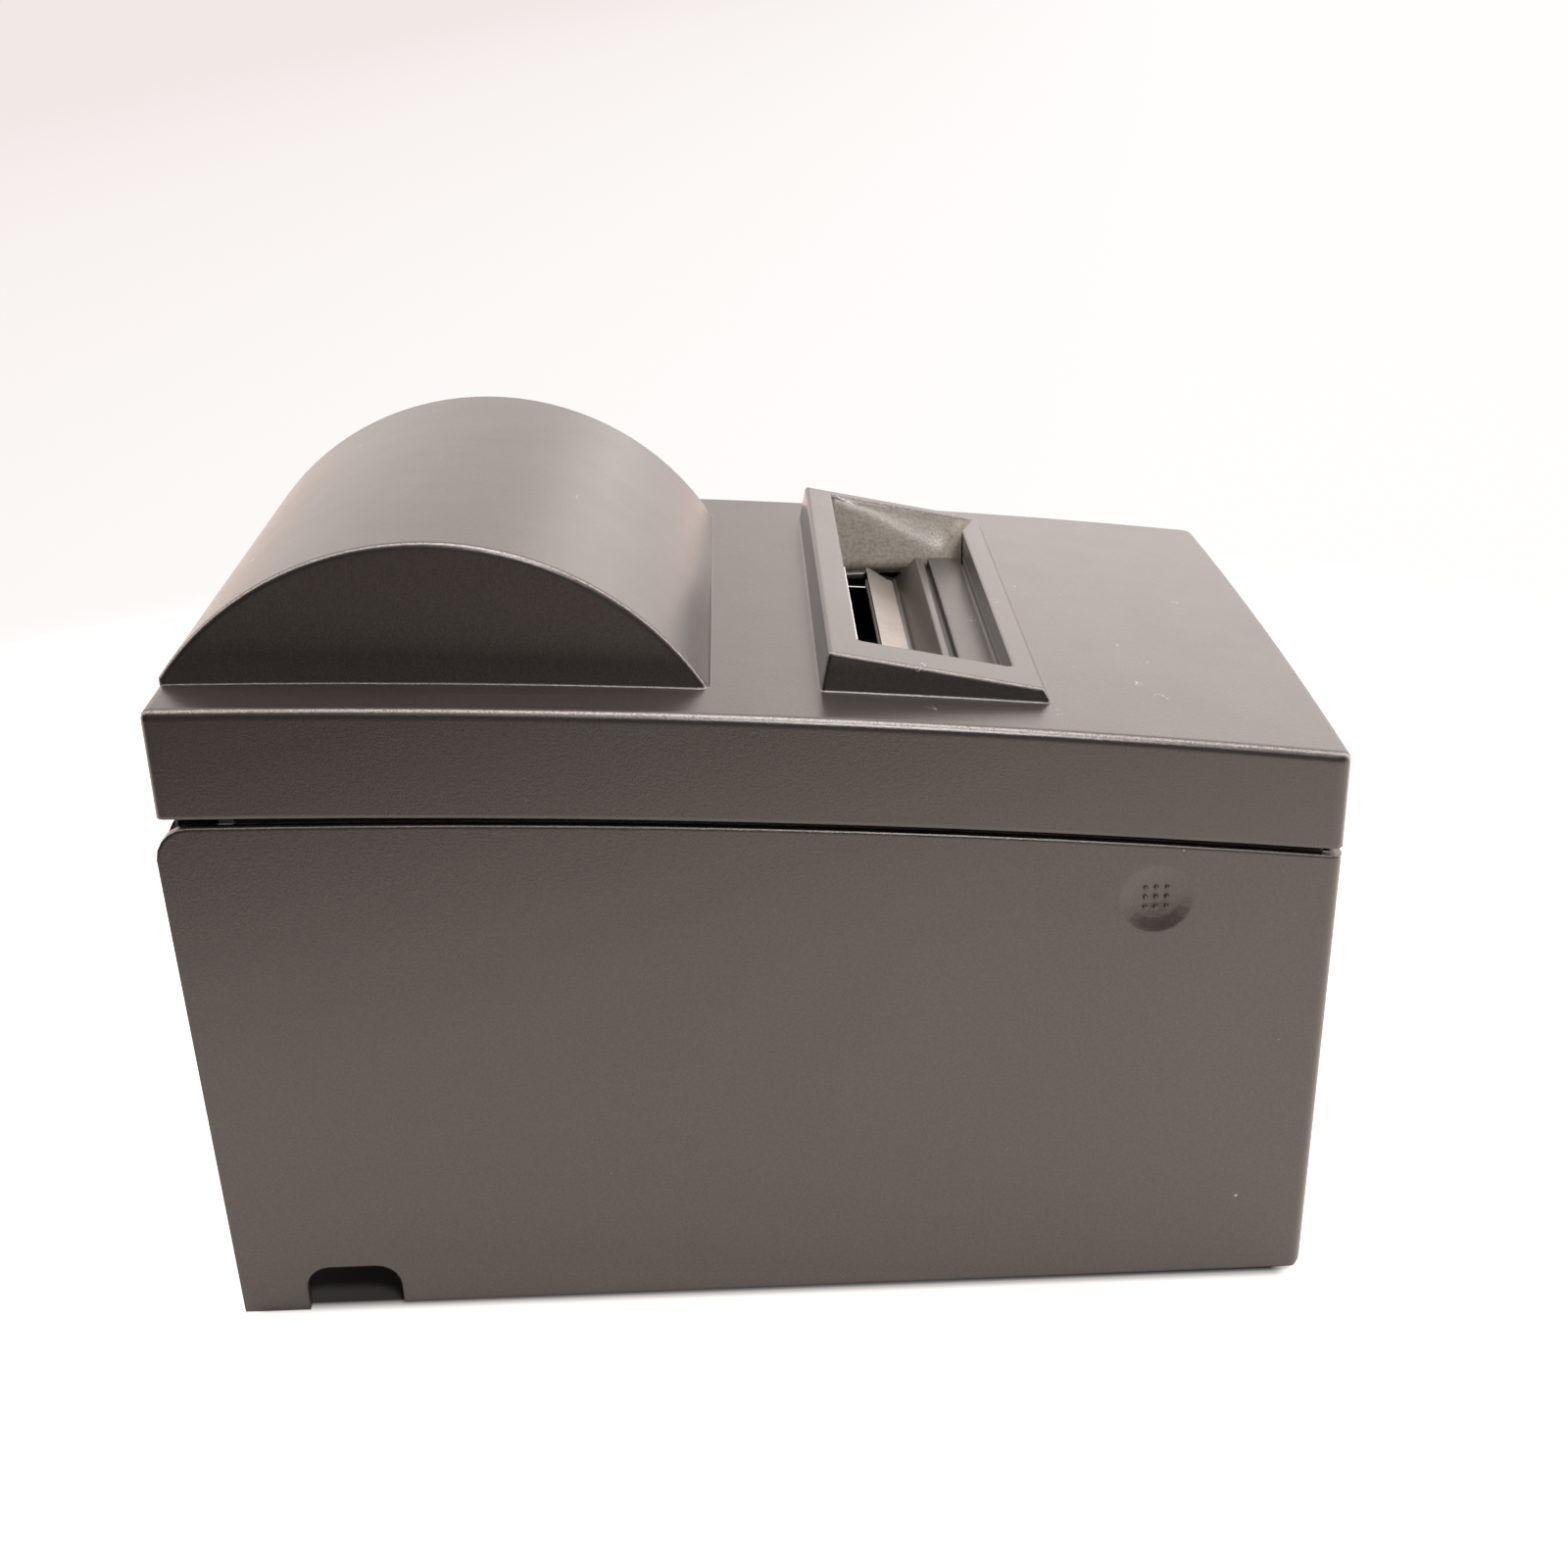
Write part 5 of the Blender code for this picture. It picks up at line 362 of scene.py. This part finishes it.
def make_ribbon_ink():
    """A woven ribbon soaked with violet ink."""
    sh = Shader("ribbon_woven")
    thread = {"Vector": sh.stretch((4200.0, 4200.0, 4200.0)), "Scale": 0.2}
    warp, weft = (sh.node("ShaderNodeTexWave", thread, bands_direction=way)["Fac"]
                  for way in ("Z", "Y"))
    weave = sh.math("MAXIMUM", warp, weft)
    cloud = sh.noise(120.0, detail=3.0, rough=0.6)
    base = sh.mix(sh.span(cloud, 0.35, 0.65), srgb(44, 32, 58), srgb(72, 50, 88))
    sh.set(Base_Color=base, Roughness=sh.span(weave, 0.0, 1.0, 0.5, 0.75),
           Normal=sh.bump(weave, 0.03 * MM, 0.5))
    return sh.material


def make_circuit_board():
    """Green solder mask over paler tracks, with rows of tinned pads."""
    sh = Shader("board_masked")
    cell = sh.cells(420.0, "F1", sh.stretch((1.0, 0.45, 1.0)), 0.2)
    line = sh.cells(330.0, "DISTANCE_TO_EDGE", sh.stretch((1.0, 0.5, 1.0)), 0.35)["Distance"]
    track = sh.span(line, 0.05, 0.09)
    pad = sh.span(cell["Distance"], 0.16, 0.12)
    cloud = sh.noise(50.0, detail=3.0, rough=0.6)
    base = sh.mix(sh.span(cloud, 0.3, 0.7), srgb(22, 70, 40), srgb(30, 86, 50))
    base = sh.mix(sh.math("SUBTRACT", 1.0, track, clamp=True), base, srgb(52, 112, 66))
    base = sh.mix(sh.product(pad, 0.9), base, srgb(206, 178, 112))
    sh.set(Base_Color=base, Roughness=sh.span(cloud, 0.3, 0.7, 0.25, 0.4),
           Normal=sh.bump(track, -0.03 * MM, 0.4), Coat_Weight=0.4)
    return sh.material


def make_lamp_lens(name, dark, light):
    """A small faceted indicator lens, unlit."""
    sh = Shader(name)
    facets = sh.cells(1500.0, randomness=0.1)["Distance"]
    cloud = sh.noise(400.0, detail=2.0, rough=0.5)
    base = sh.mix(sh.span(cloud, 0.3, 0.7), dark, light)
    sh.set(Base_Color=base, Roughness=sh.span(cloud, 0.3, 0.7, 0.12, 0.22),
           Normal=sh.bump(facets, 0.1 * MM, 0.4), Transmission_Weight=0.25, Coat_Weight=0.3)
    return sh.material


MATERIALS = {
    "case_plastic": make_case_plastic("case_plastic_grained"),
    "tray_plastic": make_plastic("tray_plastic_moulded", srgb(38, 35, 33), srgb(50, 47, 44)),
    "dark_plastic": make_plastic("dark_plastic_moulded", srgb(34, 33, 33), srgb(46, 45, 44)),
    "lever_plastic": make_plastic("lever_plastic_moulded", srgb(150, 152, 152),
                                  srgb(166, 168, 168)),
    "gear_plastic": make_plastic("gear_plastic_moulded", srgb(206, 202, 190),
                                 srgb(222, 219, 208), rough=(0.35, 0.5)),
    "button_plastic": make_plastic("button_plastic_moulded", srgb(132, 130, 126),
                                   srgb(150, 147, 143)),
    "strip_steel": make_metal("strip_steel_brushed", srgb(205, 200, 194), rough=0.34,
                              brush=(60.0, 1500.0, 1500.0)),
    "steel": make_metal("steel_plated", srgb(186, 184, 178), rough=0.32,
                        brush=(80.0, 1500.0, 80.0)),
    "motor_steel": make_metal("motor_steel_drawn", srgb(150, 148, 144), rough=0.36,
                              brush=(1300.0, 90.0, 1300.0)),
    "brass": make_metal("brass_turned", srgb(206, 168, 96), rough=0.28,
                        brush=(1600.0, 1600.0, 200.0)),
    "rubber": make_rubber(),
    "ribbon_ink": make_ribbon_ink(),
    "circuit_board": make_circuit_board(),
    "green_lamp": make_lamp_lens("green_lamp_lens", srgb(30, 104, 52), srgb(64, 150, 84)),
    "red_lamp": make_lamp_lens("red_lamp_lens", srgb(120, 26, 20), srgb(170, 48, 38)),
}
for part in frame["record"]["subparts"]:
    node = NODES[part["node"]]
    for index in range(len(node.data.materials)):
        node.data.materials[index] = MATERIALS[part["material_slot"]]


# ---------------------------------------------------------------- tools for small fittings
SEATS = {}


def piece(name, bm, material, body, smooth=35.0):
    """Turn a bmesh in millimetres into a piece that rides on a body."""
    bmesh.ops.scale(bm, vec=(MM, MM, MM), verts=bm.verts)
    bmesh.ops.recalc_face_normals(bm, faces=bm.faces)
    mesh = bpy.data.meshes.new(name)
    bm.to_mesh(mesh)
    bm.free()
    mesh.polygons.foreach_set("use_smooth", [True] * len(mesh.polygons))
    mesh.set_sharp_from_angle(angle=math.radians(smooth))
    mesh.materials.append(material)
    made = bpy.data.objects.new(name, mesh)
    bpy.context.scene.collection.objects.link(made)
    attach(made, body)
    return made


def turned(bm, profile, centre, axis, steps=20):
    """Add a turned form: (radius, height) pairs about an axis through a centre."""
    turn = Vector((0, 0, 1)).rotation_difference(Vector(axis)).to_matrix()
    rings = []
    for radius, height in profile:
        angles = [2 * math.pi * k / steps for k in range(steps)] if radius > 0 else [0.0]
        spots = [(radius * math.cos(a), radius * math.sin(a), height) for a in angles]
        rings.append([bm.verts.new(Vector(centre) + turn @ Vector(spot)) for spot in spots])
    for low, high in zip(rings, rings[1:]):
        for k in range(steps):
            corner = [low[k % len(low)], low[(k + 1) % len(low)],
                      high[(k + 1) % len(high)], high[k % len(high)]]
            corner = [v for i, v in enumerate(corner) if v not in corner[:i]]
            if len(corner) > 2:
                bm.faces.new(corner)


def block(bm, low, high, rounding):
    """Add a box from corner to corner with its edges rounded."""
    made = bmesh.ops.create_cube(bm, size=1.0)["verts"]
    for vert in made:
        vert.co = Vector([low[i] + (high[i] - low[i]) * (vert.co[i] + 0.5) for i in range(3)])
    rim = list(dict.fromkeys(edge for vert in made for edge in vert.link_edges))
    bmesh.ops.bevel(bm, geom=rim, offset=rounding, segments=2, profile=0.5, affect="EDGES")


def seat(node, start, way):
    """The first point of a node's surface from a start along a direction, in millimetres."""
    if node not in SEATS:
        mesh = NODES[node].data
        SEATS[node] = BVHTree.FromPolygons([v.co for v in mesh.vertices],
                                           [p.vertices for p in mesh.polygons])
    point = SEATS[node].ray_cast(Vector(start) * MM, Vector(way))[0]
    return point / MM if point else None


def cross_screw(bm, centre, axis, radius=2.4):
    """Add a pan-head screw with a cross recess, its head standing along the axis."""
    up = radius * 0.62
    sunk = 0.4
    head = [(0, -sunk), (radius, -sunk), (radius, up * 0.35), (radius * 0.86, up * 0.75),
            (radius * 0.55, up), (radius * 0.3, up), (0, up * 0.35)]
    turned(bm, head, centre, axis)
    axis = Vector(axis)
    side = Vector((0, 0, 1)) if abs(axis.z) < 0.9 else Vector((1, 0, 0))
    for arm in (side, axis.cross(side)):
        across = axis.cross(arm)
        corner = []
        for a, b in ((1, 1), (-1, 1), (-1, -1), (1, -1)):
            flat = Vector(centre) + arm * (a * radius * 0.58) + across * (b * radius * 0.11)
            corner.append((bm.verts.new(flat + axis * (up * 0.4)),
                           bm.verts.new(flat + axis * (up + 0.02))))
        for (low, high), (next_low, next_high) in zip(corner, corner[1:] + corner[:1]):
            bm.faces.new((low, next_low, next_high, high))


# ---------------------------------------------------------------- the window's skin
# x of the far wall's ends, y of its foot and lip, z of its foot, and the skin's lower end
WALL_REAR, WALL_FRONT, LIP_FRONT = 22.25, 55.55, 59.55
WALL_FOOT, WALL_LIP, FRONT_WALL_END = 53.1, 60.3, 47.5
WALL_LOW, SKIN_LOW = 131, 129.7
# the sloping top of the window's frame: its height at an x, and its fall along x
FRAME_X, FRAME_Z, FRAME_FALL = 15.75, 149.93, 9.8 / 45.0
# steps along the far wall, along the front wall and up, and how the corner is rounded
FAR_STEPS, FRONT_STEPS, UP_STEPS = 24, 8, 16
CORNER_START, CORNER_ROUNDS = 18, 16
SKIN_OFF_WALL = Vector((-0.05, -0.08, 0))
SKIN_THICKNESS = 0.05 * MM


def soft_min(a, b, ease):
    """The smaller of two numbers with its crease eased, never below it."""
    return (a + b) / 2 - math.sqrt((a - b) ** 2 / 4 + ease ** 2) + ease


def patch(corners, s, t, push):
    """A point of the four-cornered surface, pushed along the surface's own twist."""
    p00, p10, p01, p11 = corners
    flat = p00 * ((1 - s) * (1 - t)) + p10 * (s * (1 - t)) + p01 * ((1 - s) * t) + p11 * (s * t)
    return flat + (p11 - p10 - p01 + p00) * push


def lip(x, y):
    """The point of the frame's sloping top at an x and a y."""
    return Vector((x, y, FRAME_Z - FRAME_FALL * (x - FRAME_X)))


def make_window_liner():
    """The window's far wall: one smooth skin that leans out and rounds into the front wall."""
    far_wall = (Vector((WALL_REAR, WALL_FOOT, WALL_LOW)), Vector((WALL_FRONT, WALL_FOOT, WALL_LOW)),
                lip(WALL_REAR, WALL_LIP), lip(LIP_FRONT, WALL_LIP))
    front_wall = (far_wall[1], Vector((WALL_FRONT, FRONT_WALL_END, WALL_LOW)),
                  far_wall[3], lip(WALL_FRONT, FRONT_WALL_END))
    rows = []
    for t in (k / UP_STEPS for k in range(UP_STEPS + 1)):
        fade = min(1.0, (1 - t) * 5)
        ease = 0.06 * fade
        row = []
        for s in (k / FAR_STEPS for k in range(FAR_STEPS + 1)):
            push = -soft_min(s * t, (1 - s) * (1 - t), ease) - 0.03 * fade
            row.append(patch(far_wall, s, t, push))
        for s in (k / FRONT_STEPS for k in range(1, FRONT_STEPS + 1)):
            row.append(patch(front_wall, s, t, soft_min(t * (1 - s), s * (1 - t), ease)))
        pull = 0.5 * min(1.0, (1 - t) * 2.5)
        for _ in range(CORNER_ROUNDS):
            beside = zip(row[CORNER_START - 1:], row[CORNER_START:], row[CORNER_START + 1:])
            eased = [b.lerp((a + c) / 2, pull) for a, b, c in beside]
            row = row[:CORNER_START] + eased + [row[-1]]
        rows.append([point + SKIN_OFF_WALL for point in row])
    rows.insert(0, [Vector((point.x, point.y, SKIN_LOW)) for point in rows[0]])
    bm = bmesh.new()
    rows = [[bm.verts.new(point) for point in row] for row in rows]
    for low, high in zip(rows, rows[1:]):
        for k in range(len(low) - 1):
            bm.faces.new((low[k], low[k + 1], high[k + 1], high[k]))
    # the far wall gets a paler, dustier copy of the case plastic: dust, and painted light that
    # stands in for the light the wall catches
    dusty_and_lit = make_case_plastic("case_plastic_dusty_and_lit", rounded=False, dust=0.6)
    made = piece("window_liner", bm, dusty_and_lit, "cover", smooth=180.0)
    skin = made.modifiers.new("skin", "SOLIDIFY")
    skin.thickness, skin.offset = SKIN_THICKNESS, -1.0


# ---------------------------------------------------------------- small fittings
# the middle dot of the dimple's nine, and the step from one to the next
DOT_X, DOT_Y, DOT_Z = 83.45, 77.7, 98.0
DOT_PITCH = 2.27
DOT_PROFILE = [(0.54, 0), (0.53, 0.4), (0.44, 0.68), (0.26, 0.86), (0, 0.92)]

REAR = (-1, 0, 0)
UP = (0, 0, 1)
DOWN = (0, 0, -1)
# x of the connector panel and of the face that the pins stand on, and the sockets' middles
PANEL_X, CONNECTOR_FACE_X = -82.2, -83.2
CONNECTOR_Y, POWER_Y, DRAWER_Y, SOCKET_Z = 28, -44, -14, 22
# the connector's rows of pins, by their height from its middle and their number, and its posts
PIN_PITCH, PIN_ROWS = 2.76, ((1.42, 13), (-1.42, 12))
POST_OFFSET = 23.4
POWER_PIN_X, POWER_PIN_RADIUS = -75.2, 3.0
CONTACT_PITCH = 1.02

# the circuit board, and what stands on it by its share of the board's half width
BOARD_TOP = 40.3
BOARD_HALF_WIDTH = 58
CHIP_SHARES = (-0.7, -0.3, 0.15, 0.6)
CHIP_X, LEG_PITCH, LEG_LENGTH = -97.75, 1.15, 1.5
CAPACITOR_SHARES = (-0.5, -0.1, 0.4, 0.8)
CAPACITOR_X = -110.75
HEADER_X, HEADER_PITCH = -82.6, 2.0
HEADER_STARTS = (-46, -24, 12)


def make_grip_dots():
    """Small round domes in the thumb dimple of each side wall."""
    bm = bmesh.new()
    for side in (-1, 1):
        for row in (-1, 0, 1):
            for column in (-1, 0, 1):
                centre = (DOT_X + DOT_PITCH * column, side * DOT_Y, DOT_Z + DOT_PITCH * row)
                turned(bm, DOT_PROFILE, centre, (0, side, 0), 12)
    plastic = make_case_plastic("case_plastic_dots", rounded=False)
    piece("grip_dots", bm, plastic, "base", smooth=60.0)


def make_screws():
    """Pan-head screws of the frame, the base, the board and the connector panel."""
    bm = bmesh.new()
    for side, plate in ((-1, "side_plate_left"), (1, "side_plate_right")):
        for x, z in ((-5, 14), (50, 14), (100, 14), (100, 44)):
            point = seat(plate, (x, side * 70, z), (0, -side, 0))
            if point:
                cross_screw(bm, point, (0, side, 0))
        for x in (0, 40, 92):
            point = seat("base_plate", (x, side * 44, 24), DOWN)
            if point:
                cross_screw(bm, point, UP)
        for x in (-60, 20, 88):
            point = seat("lower_case", (x, side * 34, -20), UP)
            if point and point.z < 8:
                cross_screw(bm, point + Vector((0, 0, 1.3)), DOWN, radius=3.0)
        point = seat("main_board", (-84, side * 54, 60), DOWN)
        if point:
            cross_screw(bm, point, UP, radius=2.2)
    for y in (-25.5, -2.5):
        cross_screw(bm, (PANEL_X, y, 11.2), REAR, radius=1.8)
    piece("frame_screws", bm, MATERIALS["steel"], "base")


def make_socket_metal():
    """Pins, contacts and hexagonal posts of the three sockets in the cable cavity."""
    bm = bmesh.new()
    pin = [(0.5, 0), (0.5, 3.6), (0.3, 4.0), (0, 4.1)]
    post = [(2.5, 0), (2.5, 4.6), (2.1, 5.0), (1.2, 5.0), (1.2, 3.2), (0, 3.2)]
    power_pin = [(0.7, 0), (0.7, 5.0), (0.4, 5.5), (0, 5.6)]
    for row, count in PIN_ROWS:
        for k in range(count):
            y = CONNECTOR_Y + PIN_PITCH * (k - (count - 1) / 2)
            turned(bm, pin, (CONNECTOR_FACE_X, y, SOCKET_Z + row), REAR, 8)
    for y in (CONNECTOR_Y - POST_OFFSET, CONNECTOR_Y + POST_OFFSET):
        turned(bm, post, (PANEL_X, y, SOCKET_Z), REAR, 6)
    for angle in map(math.radians, (90, 210, 330)):
        spot = (POWER_PIN_X, POWER_Y + POWER_PIN_RADIUS * math.cos(angle),
                SOCKET_Z + POWER_PIN_RADIUS * math.sin(angle))
        turned(bm, power_pin, spot, REAR, 10)
    for k in range(6):
        y = DRAWER_Y + CONTACT_PITCH * (k - 2.5)
        block(bm, (-82.4, y - 0.2, 24.5), (-75.4, y + 0.2, 24.9), 0.08)
    piece("socket_metal", bm, MATERIALS["brass"], "base")


def make_board_metal():
    """Chip legs and header pins on the circuit board."""
    bm = bmesh.new()
    for share in CHIP_SHARES:
        for side in (-1, 1):
            for k in range(8):
                x = CHIP_X + LEG_PITCH * (k - 3.5)
                edge = share * BOARD_HALF_WIDTH + side * 5
                ends = sorted((edge, edge + side * LEG_LENGTH))
                block(bm, (x - 0.22, ends[0], 40.25), (x + 0.22, ends[1], 40.55), 0.06)
    for start in HEADER_STARTS:
        for k in range(6):
            spot = (HEADER_X, start + HEADER_PITCH * k, BOARD_TOP)
            turned(bm, [(0.35, 0), (0.35, 5.2), (0, 5.6)], spot, UP, 6)
    piece("board_metal", bm, MATERIALS["steel"], "base")


def make_board_blocks():
    """Header shrouds, chip resistors, capacitor sleeves and chip bodies on the circuit board."""
    bm = bmesh.new()
    sleeve = [(3.15, 0), (3.15, 4.3), (2.7, 4.7), (2.3, 4.55)]
    for start in HEADER_STARTS:
        block(bm, (HEADER_X - 2.0, start - 1.8, BOARD_TOP), (HEADER_X + 2.0, start + 11.8, 43.2),
              0.3)
    for k in range(22):
        x, y = -90.6 + 1.1 * (k % 3), -54 + 5.0 * k
        block(bm, (x, y, BOARD_TOP), (x + 1.0, y + 2.0, 40.9), 0.1)
    for share in CAPACITOR_SHARES:
        turned(bm, sleeve, (CAPACITOR_X, share * BOARD_HALF_WIDTH, BOARD_TOP), UP, 24)
    for share in CHIP_SHARES:
        y = share * BOARD_HALF_WIDTH
        block(bm, (CHIP_X - 5.15, y - 5.15, 40.5), (CHIP_X + 5.15, y + 5.15, 42.1), 0.25)
    piece("board_blocks", bm, MATERIALS["dark_plastic"], "base")


make_window_liner()
make_grip_dots()
make_screws()
make_socket_metal()
make_board_metal()
make_board_blocks()


# ---------------------------------------------------------------- studio
FLOOR_REACH = 9.0
# half of the length and of the width that the object covers on the floor
FOOTPRINT = {"X": 0.115, "Y": 0.0765}
PAPER = ((0.86, 0.83, 0.8, 1), (0.89, 0.86, 0.83, 1))
PAPER_SEEN = ((1.0, 0.985, 0.97, 1), (0.885, 0.805, 0.79, 1))
PAPER_MIRRORED = (1.0, 0.79, 0.68, 1)
PAPER_UNLIT = (0.01, 0.01, 0.01, 1)
ROOM = (1.0, 0.905, 0.865, 1.0)
LAMP_WHITE, LAMP_WARM = (1.0, 0.94, 0.915), (1.0, 0.88, 0.82)


def make_floor():
    """White paper: the lens and gloss see it white, but for a painted shadow under the object;
    light bounces off it only near the object.
    """
    mesh = bpy.data.meshes.new("studio_floor")
    corners = [(x * FLOOR_REACH, y * FLOOR_REACH, 0)
               for x, y in ((-1, -1), (1, -1), (1, 1), (-1, 1))]
    mesh.from_pydata(corners, [], [(0, 1, 2, 3)])
    floor = bpy.data.objects.new("studio_floor", mesh)
    bpy.context.scene.collection.objects.link(floor)
    sh = Shader("studio_floor_paper")
    mesh.materials.append(sh.material)
    place = sh.split(sh.place)
    path = sh.node("ShaderNodeLightPath")

    # how far a point lies from the object's footprint, and the side that gets the room's light
    beside = [sh.math("MAXIMUM", sh.math("SUBTRACT", sh.absolute(place[axis]), half), 0.0)
              for axis, half in FOOTPRINT.items()]
    away = sh.math("SQRT", sh.math("ADD", *[sh.product(side, side) for side in beside]))
    lit = sh.span(sh.math("ADD", place["Y"], sh.product(place["X"], 0.45)), -0.5, -0.28)

    # what bounces light, fading to dark under the object, a painted shadow, and, for the lens,
    # beyond its surroundings
    paper = sh.mix(sh.span(sh.noise(3.0), 0.3, 0.7), *PAPER)
    bare = sh.product(path["Is Camera Ray"], sh.span(away, 0.05, 0.4))
    near = sh.product(lit, sh.span(away, 0.0, 0.005, 0.05, 1.0), sh.math("SUBTRACT", 1.0, bare))
    sh.set(Base_Color=sh.mix(near, PAPER_UNLIT, paper), Roughness=0.9, Specular_IOR_Level=0.0)

    # what glows: white for the lens, a little warmer to one side, and dimmer in gloss, with no glow
    # under the object, which keeps the painted shadow dark
    mirrored = sh.product(lit, sh.span(place["X"], -0.12, 0.12, 0.8, 1.12),
                          sh.span(away, 0.1, 0.6, 0.5, 0.8))
    gloss = sh.product(sh.math("MAXIMUM", path["Is Glossy Ray"], path["Is Transmission Ray"]),
                       mirrored)
    seen = sh.math("MAXIMUM", path["Is Camera Ray"], gloss)
    aside = sh.math("SUBTRACT", sh.product(place["Y"], 0.2), place["X"])
    tint = sh.mix(sh.span(aside, -0.1, 1.7), *PAPER_SEEN)
    sh.set(Emission_Color=sh.mix(path["Is Camera Ray"], PAPER_MIRRORED, tint),
           Emission_Strength=sh.product(seen, sh.span(away, 0.0, 0.006)))


def make_world():
    """A white room behind the object and a dim one behind the camera; the lens sees it white."""
    world = bpy.data.worlds.new("studio_world")
    bpy.context.scene.world = world
    world.use_nodes = True
    room = Graph(world.node_tree, "Generated")
    path = room.node("ShaderNodeLightPath")
    side = room.span(room.split(room.place)["Y"], -0.35, 0.15, 0.03, 1.0)
    level = room.product(side, room.blend("FLOAT", path["Is Glossy Ray"], 0.75, 1.1))
    back = world.node_tree.nodes["Background"]
    room.feed(back.inputs["Strength"], room.blend("FLOAT", path["Is Camera Ray"], level, 1.0))
    room.feed(back.inputs["Color"], ROOM)


def make_light(name, place, aim, size, power, colour=LAMP_WHITE):
    """A rectangular area lamp at a place, turned to what it lights."""
    data = bpy.data.lights.new(name, "AREA")
    data.shape, data.energy, data.color = "RECTANGLE", power, colour
    data.size, data.size_y = size
    lamp = bpy.data.objects.new(name, data)
    lamp.location = place
    lamp.rotation_mode = "QUATERNION"
    lamp.rotation_quaternion = (Vector(aim) - Vector(place)).to_track_quat("-Z", "Y")
    bpy.context.scene.collection.objects.link(lamp)


make_floor()
make_world()
make_light("overhead_lamp", (0.1, 0.05, 1.3), aim=(0, 0.02, 0.1), size=(0.5, 0.4), power=5.5)
make_light("back_lamp", (1.0, 1.7, 1.0), aim=(0, 0, 0.1), size=(1.8, 1.2), power=4.8,
           colour=LAMP_WARM)
make_light("front_lamp", (0.25, -0.8, 1.05), aim=(0, 0, 0.1), size=(0.25, 0.25), power=10.0)


# ---------------------------------------------------------------- camera
# solved from the photograph: metres, radians and millimetres of lens
CAMERA_PLACE = (-0.0011, -0.460587, 0.295764)
CAMERA_YAW, CAMERA_PITCH, CAMERA_ROLL = 0.0174174, 0.4156348, -0.0263027
SENSOR_WIDTH, LENS = 36.0, 46.8771


def make_camera():
    """The camera at the photograph's place, looking where the photograph looks."""
    yaw, pitch, roll = CAMERA_YAW, CAMERA_PITCH, CAMERA_ROLL
    ahead = Vector((math.sin(yaw) * math.cos(pitch), math.cos(yaw) * math.cos(pitch),
                    -math.sin(pitch)))
    right = Vector((math.cos(yaw), -math.sin(yaw), 0.0))
    up = right.cross(ahead)
    right, up = (math.cos(roll) * right + math.sin(roll) * up,
                 math.cos(roll) * up - math.sin(roll) * right)
    data = bpy.data.cameras.new("photo_camera")
    data.sensor_fit, data.sensor_width, data.lens = "HORIZONTAL", SENSOR_WIDTH, LENS
    data.clip_start, data.clip_end = 0.02, 60.0
    camera = bpy.data.objects.new("photo_camera", data)
    turn = Matrix((right, up, -ahead)).transposed().to_4x4()
    camera.matrix_world = Matrix.Translation(Vector(CAMERA_PLACE)) @ turn
    bpy.context.scene.collection.objects.link(camera)
    bpy.context.scene.camera = camera


make_camera()
bpy.context.scene.view_settings.view_transform = "Standard"
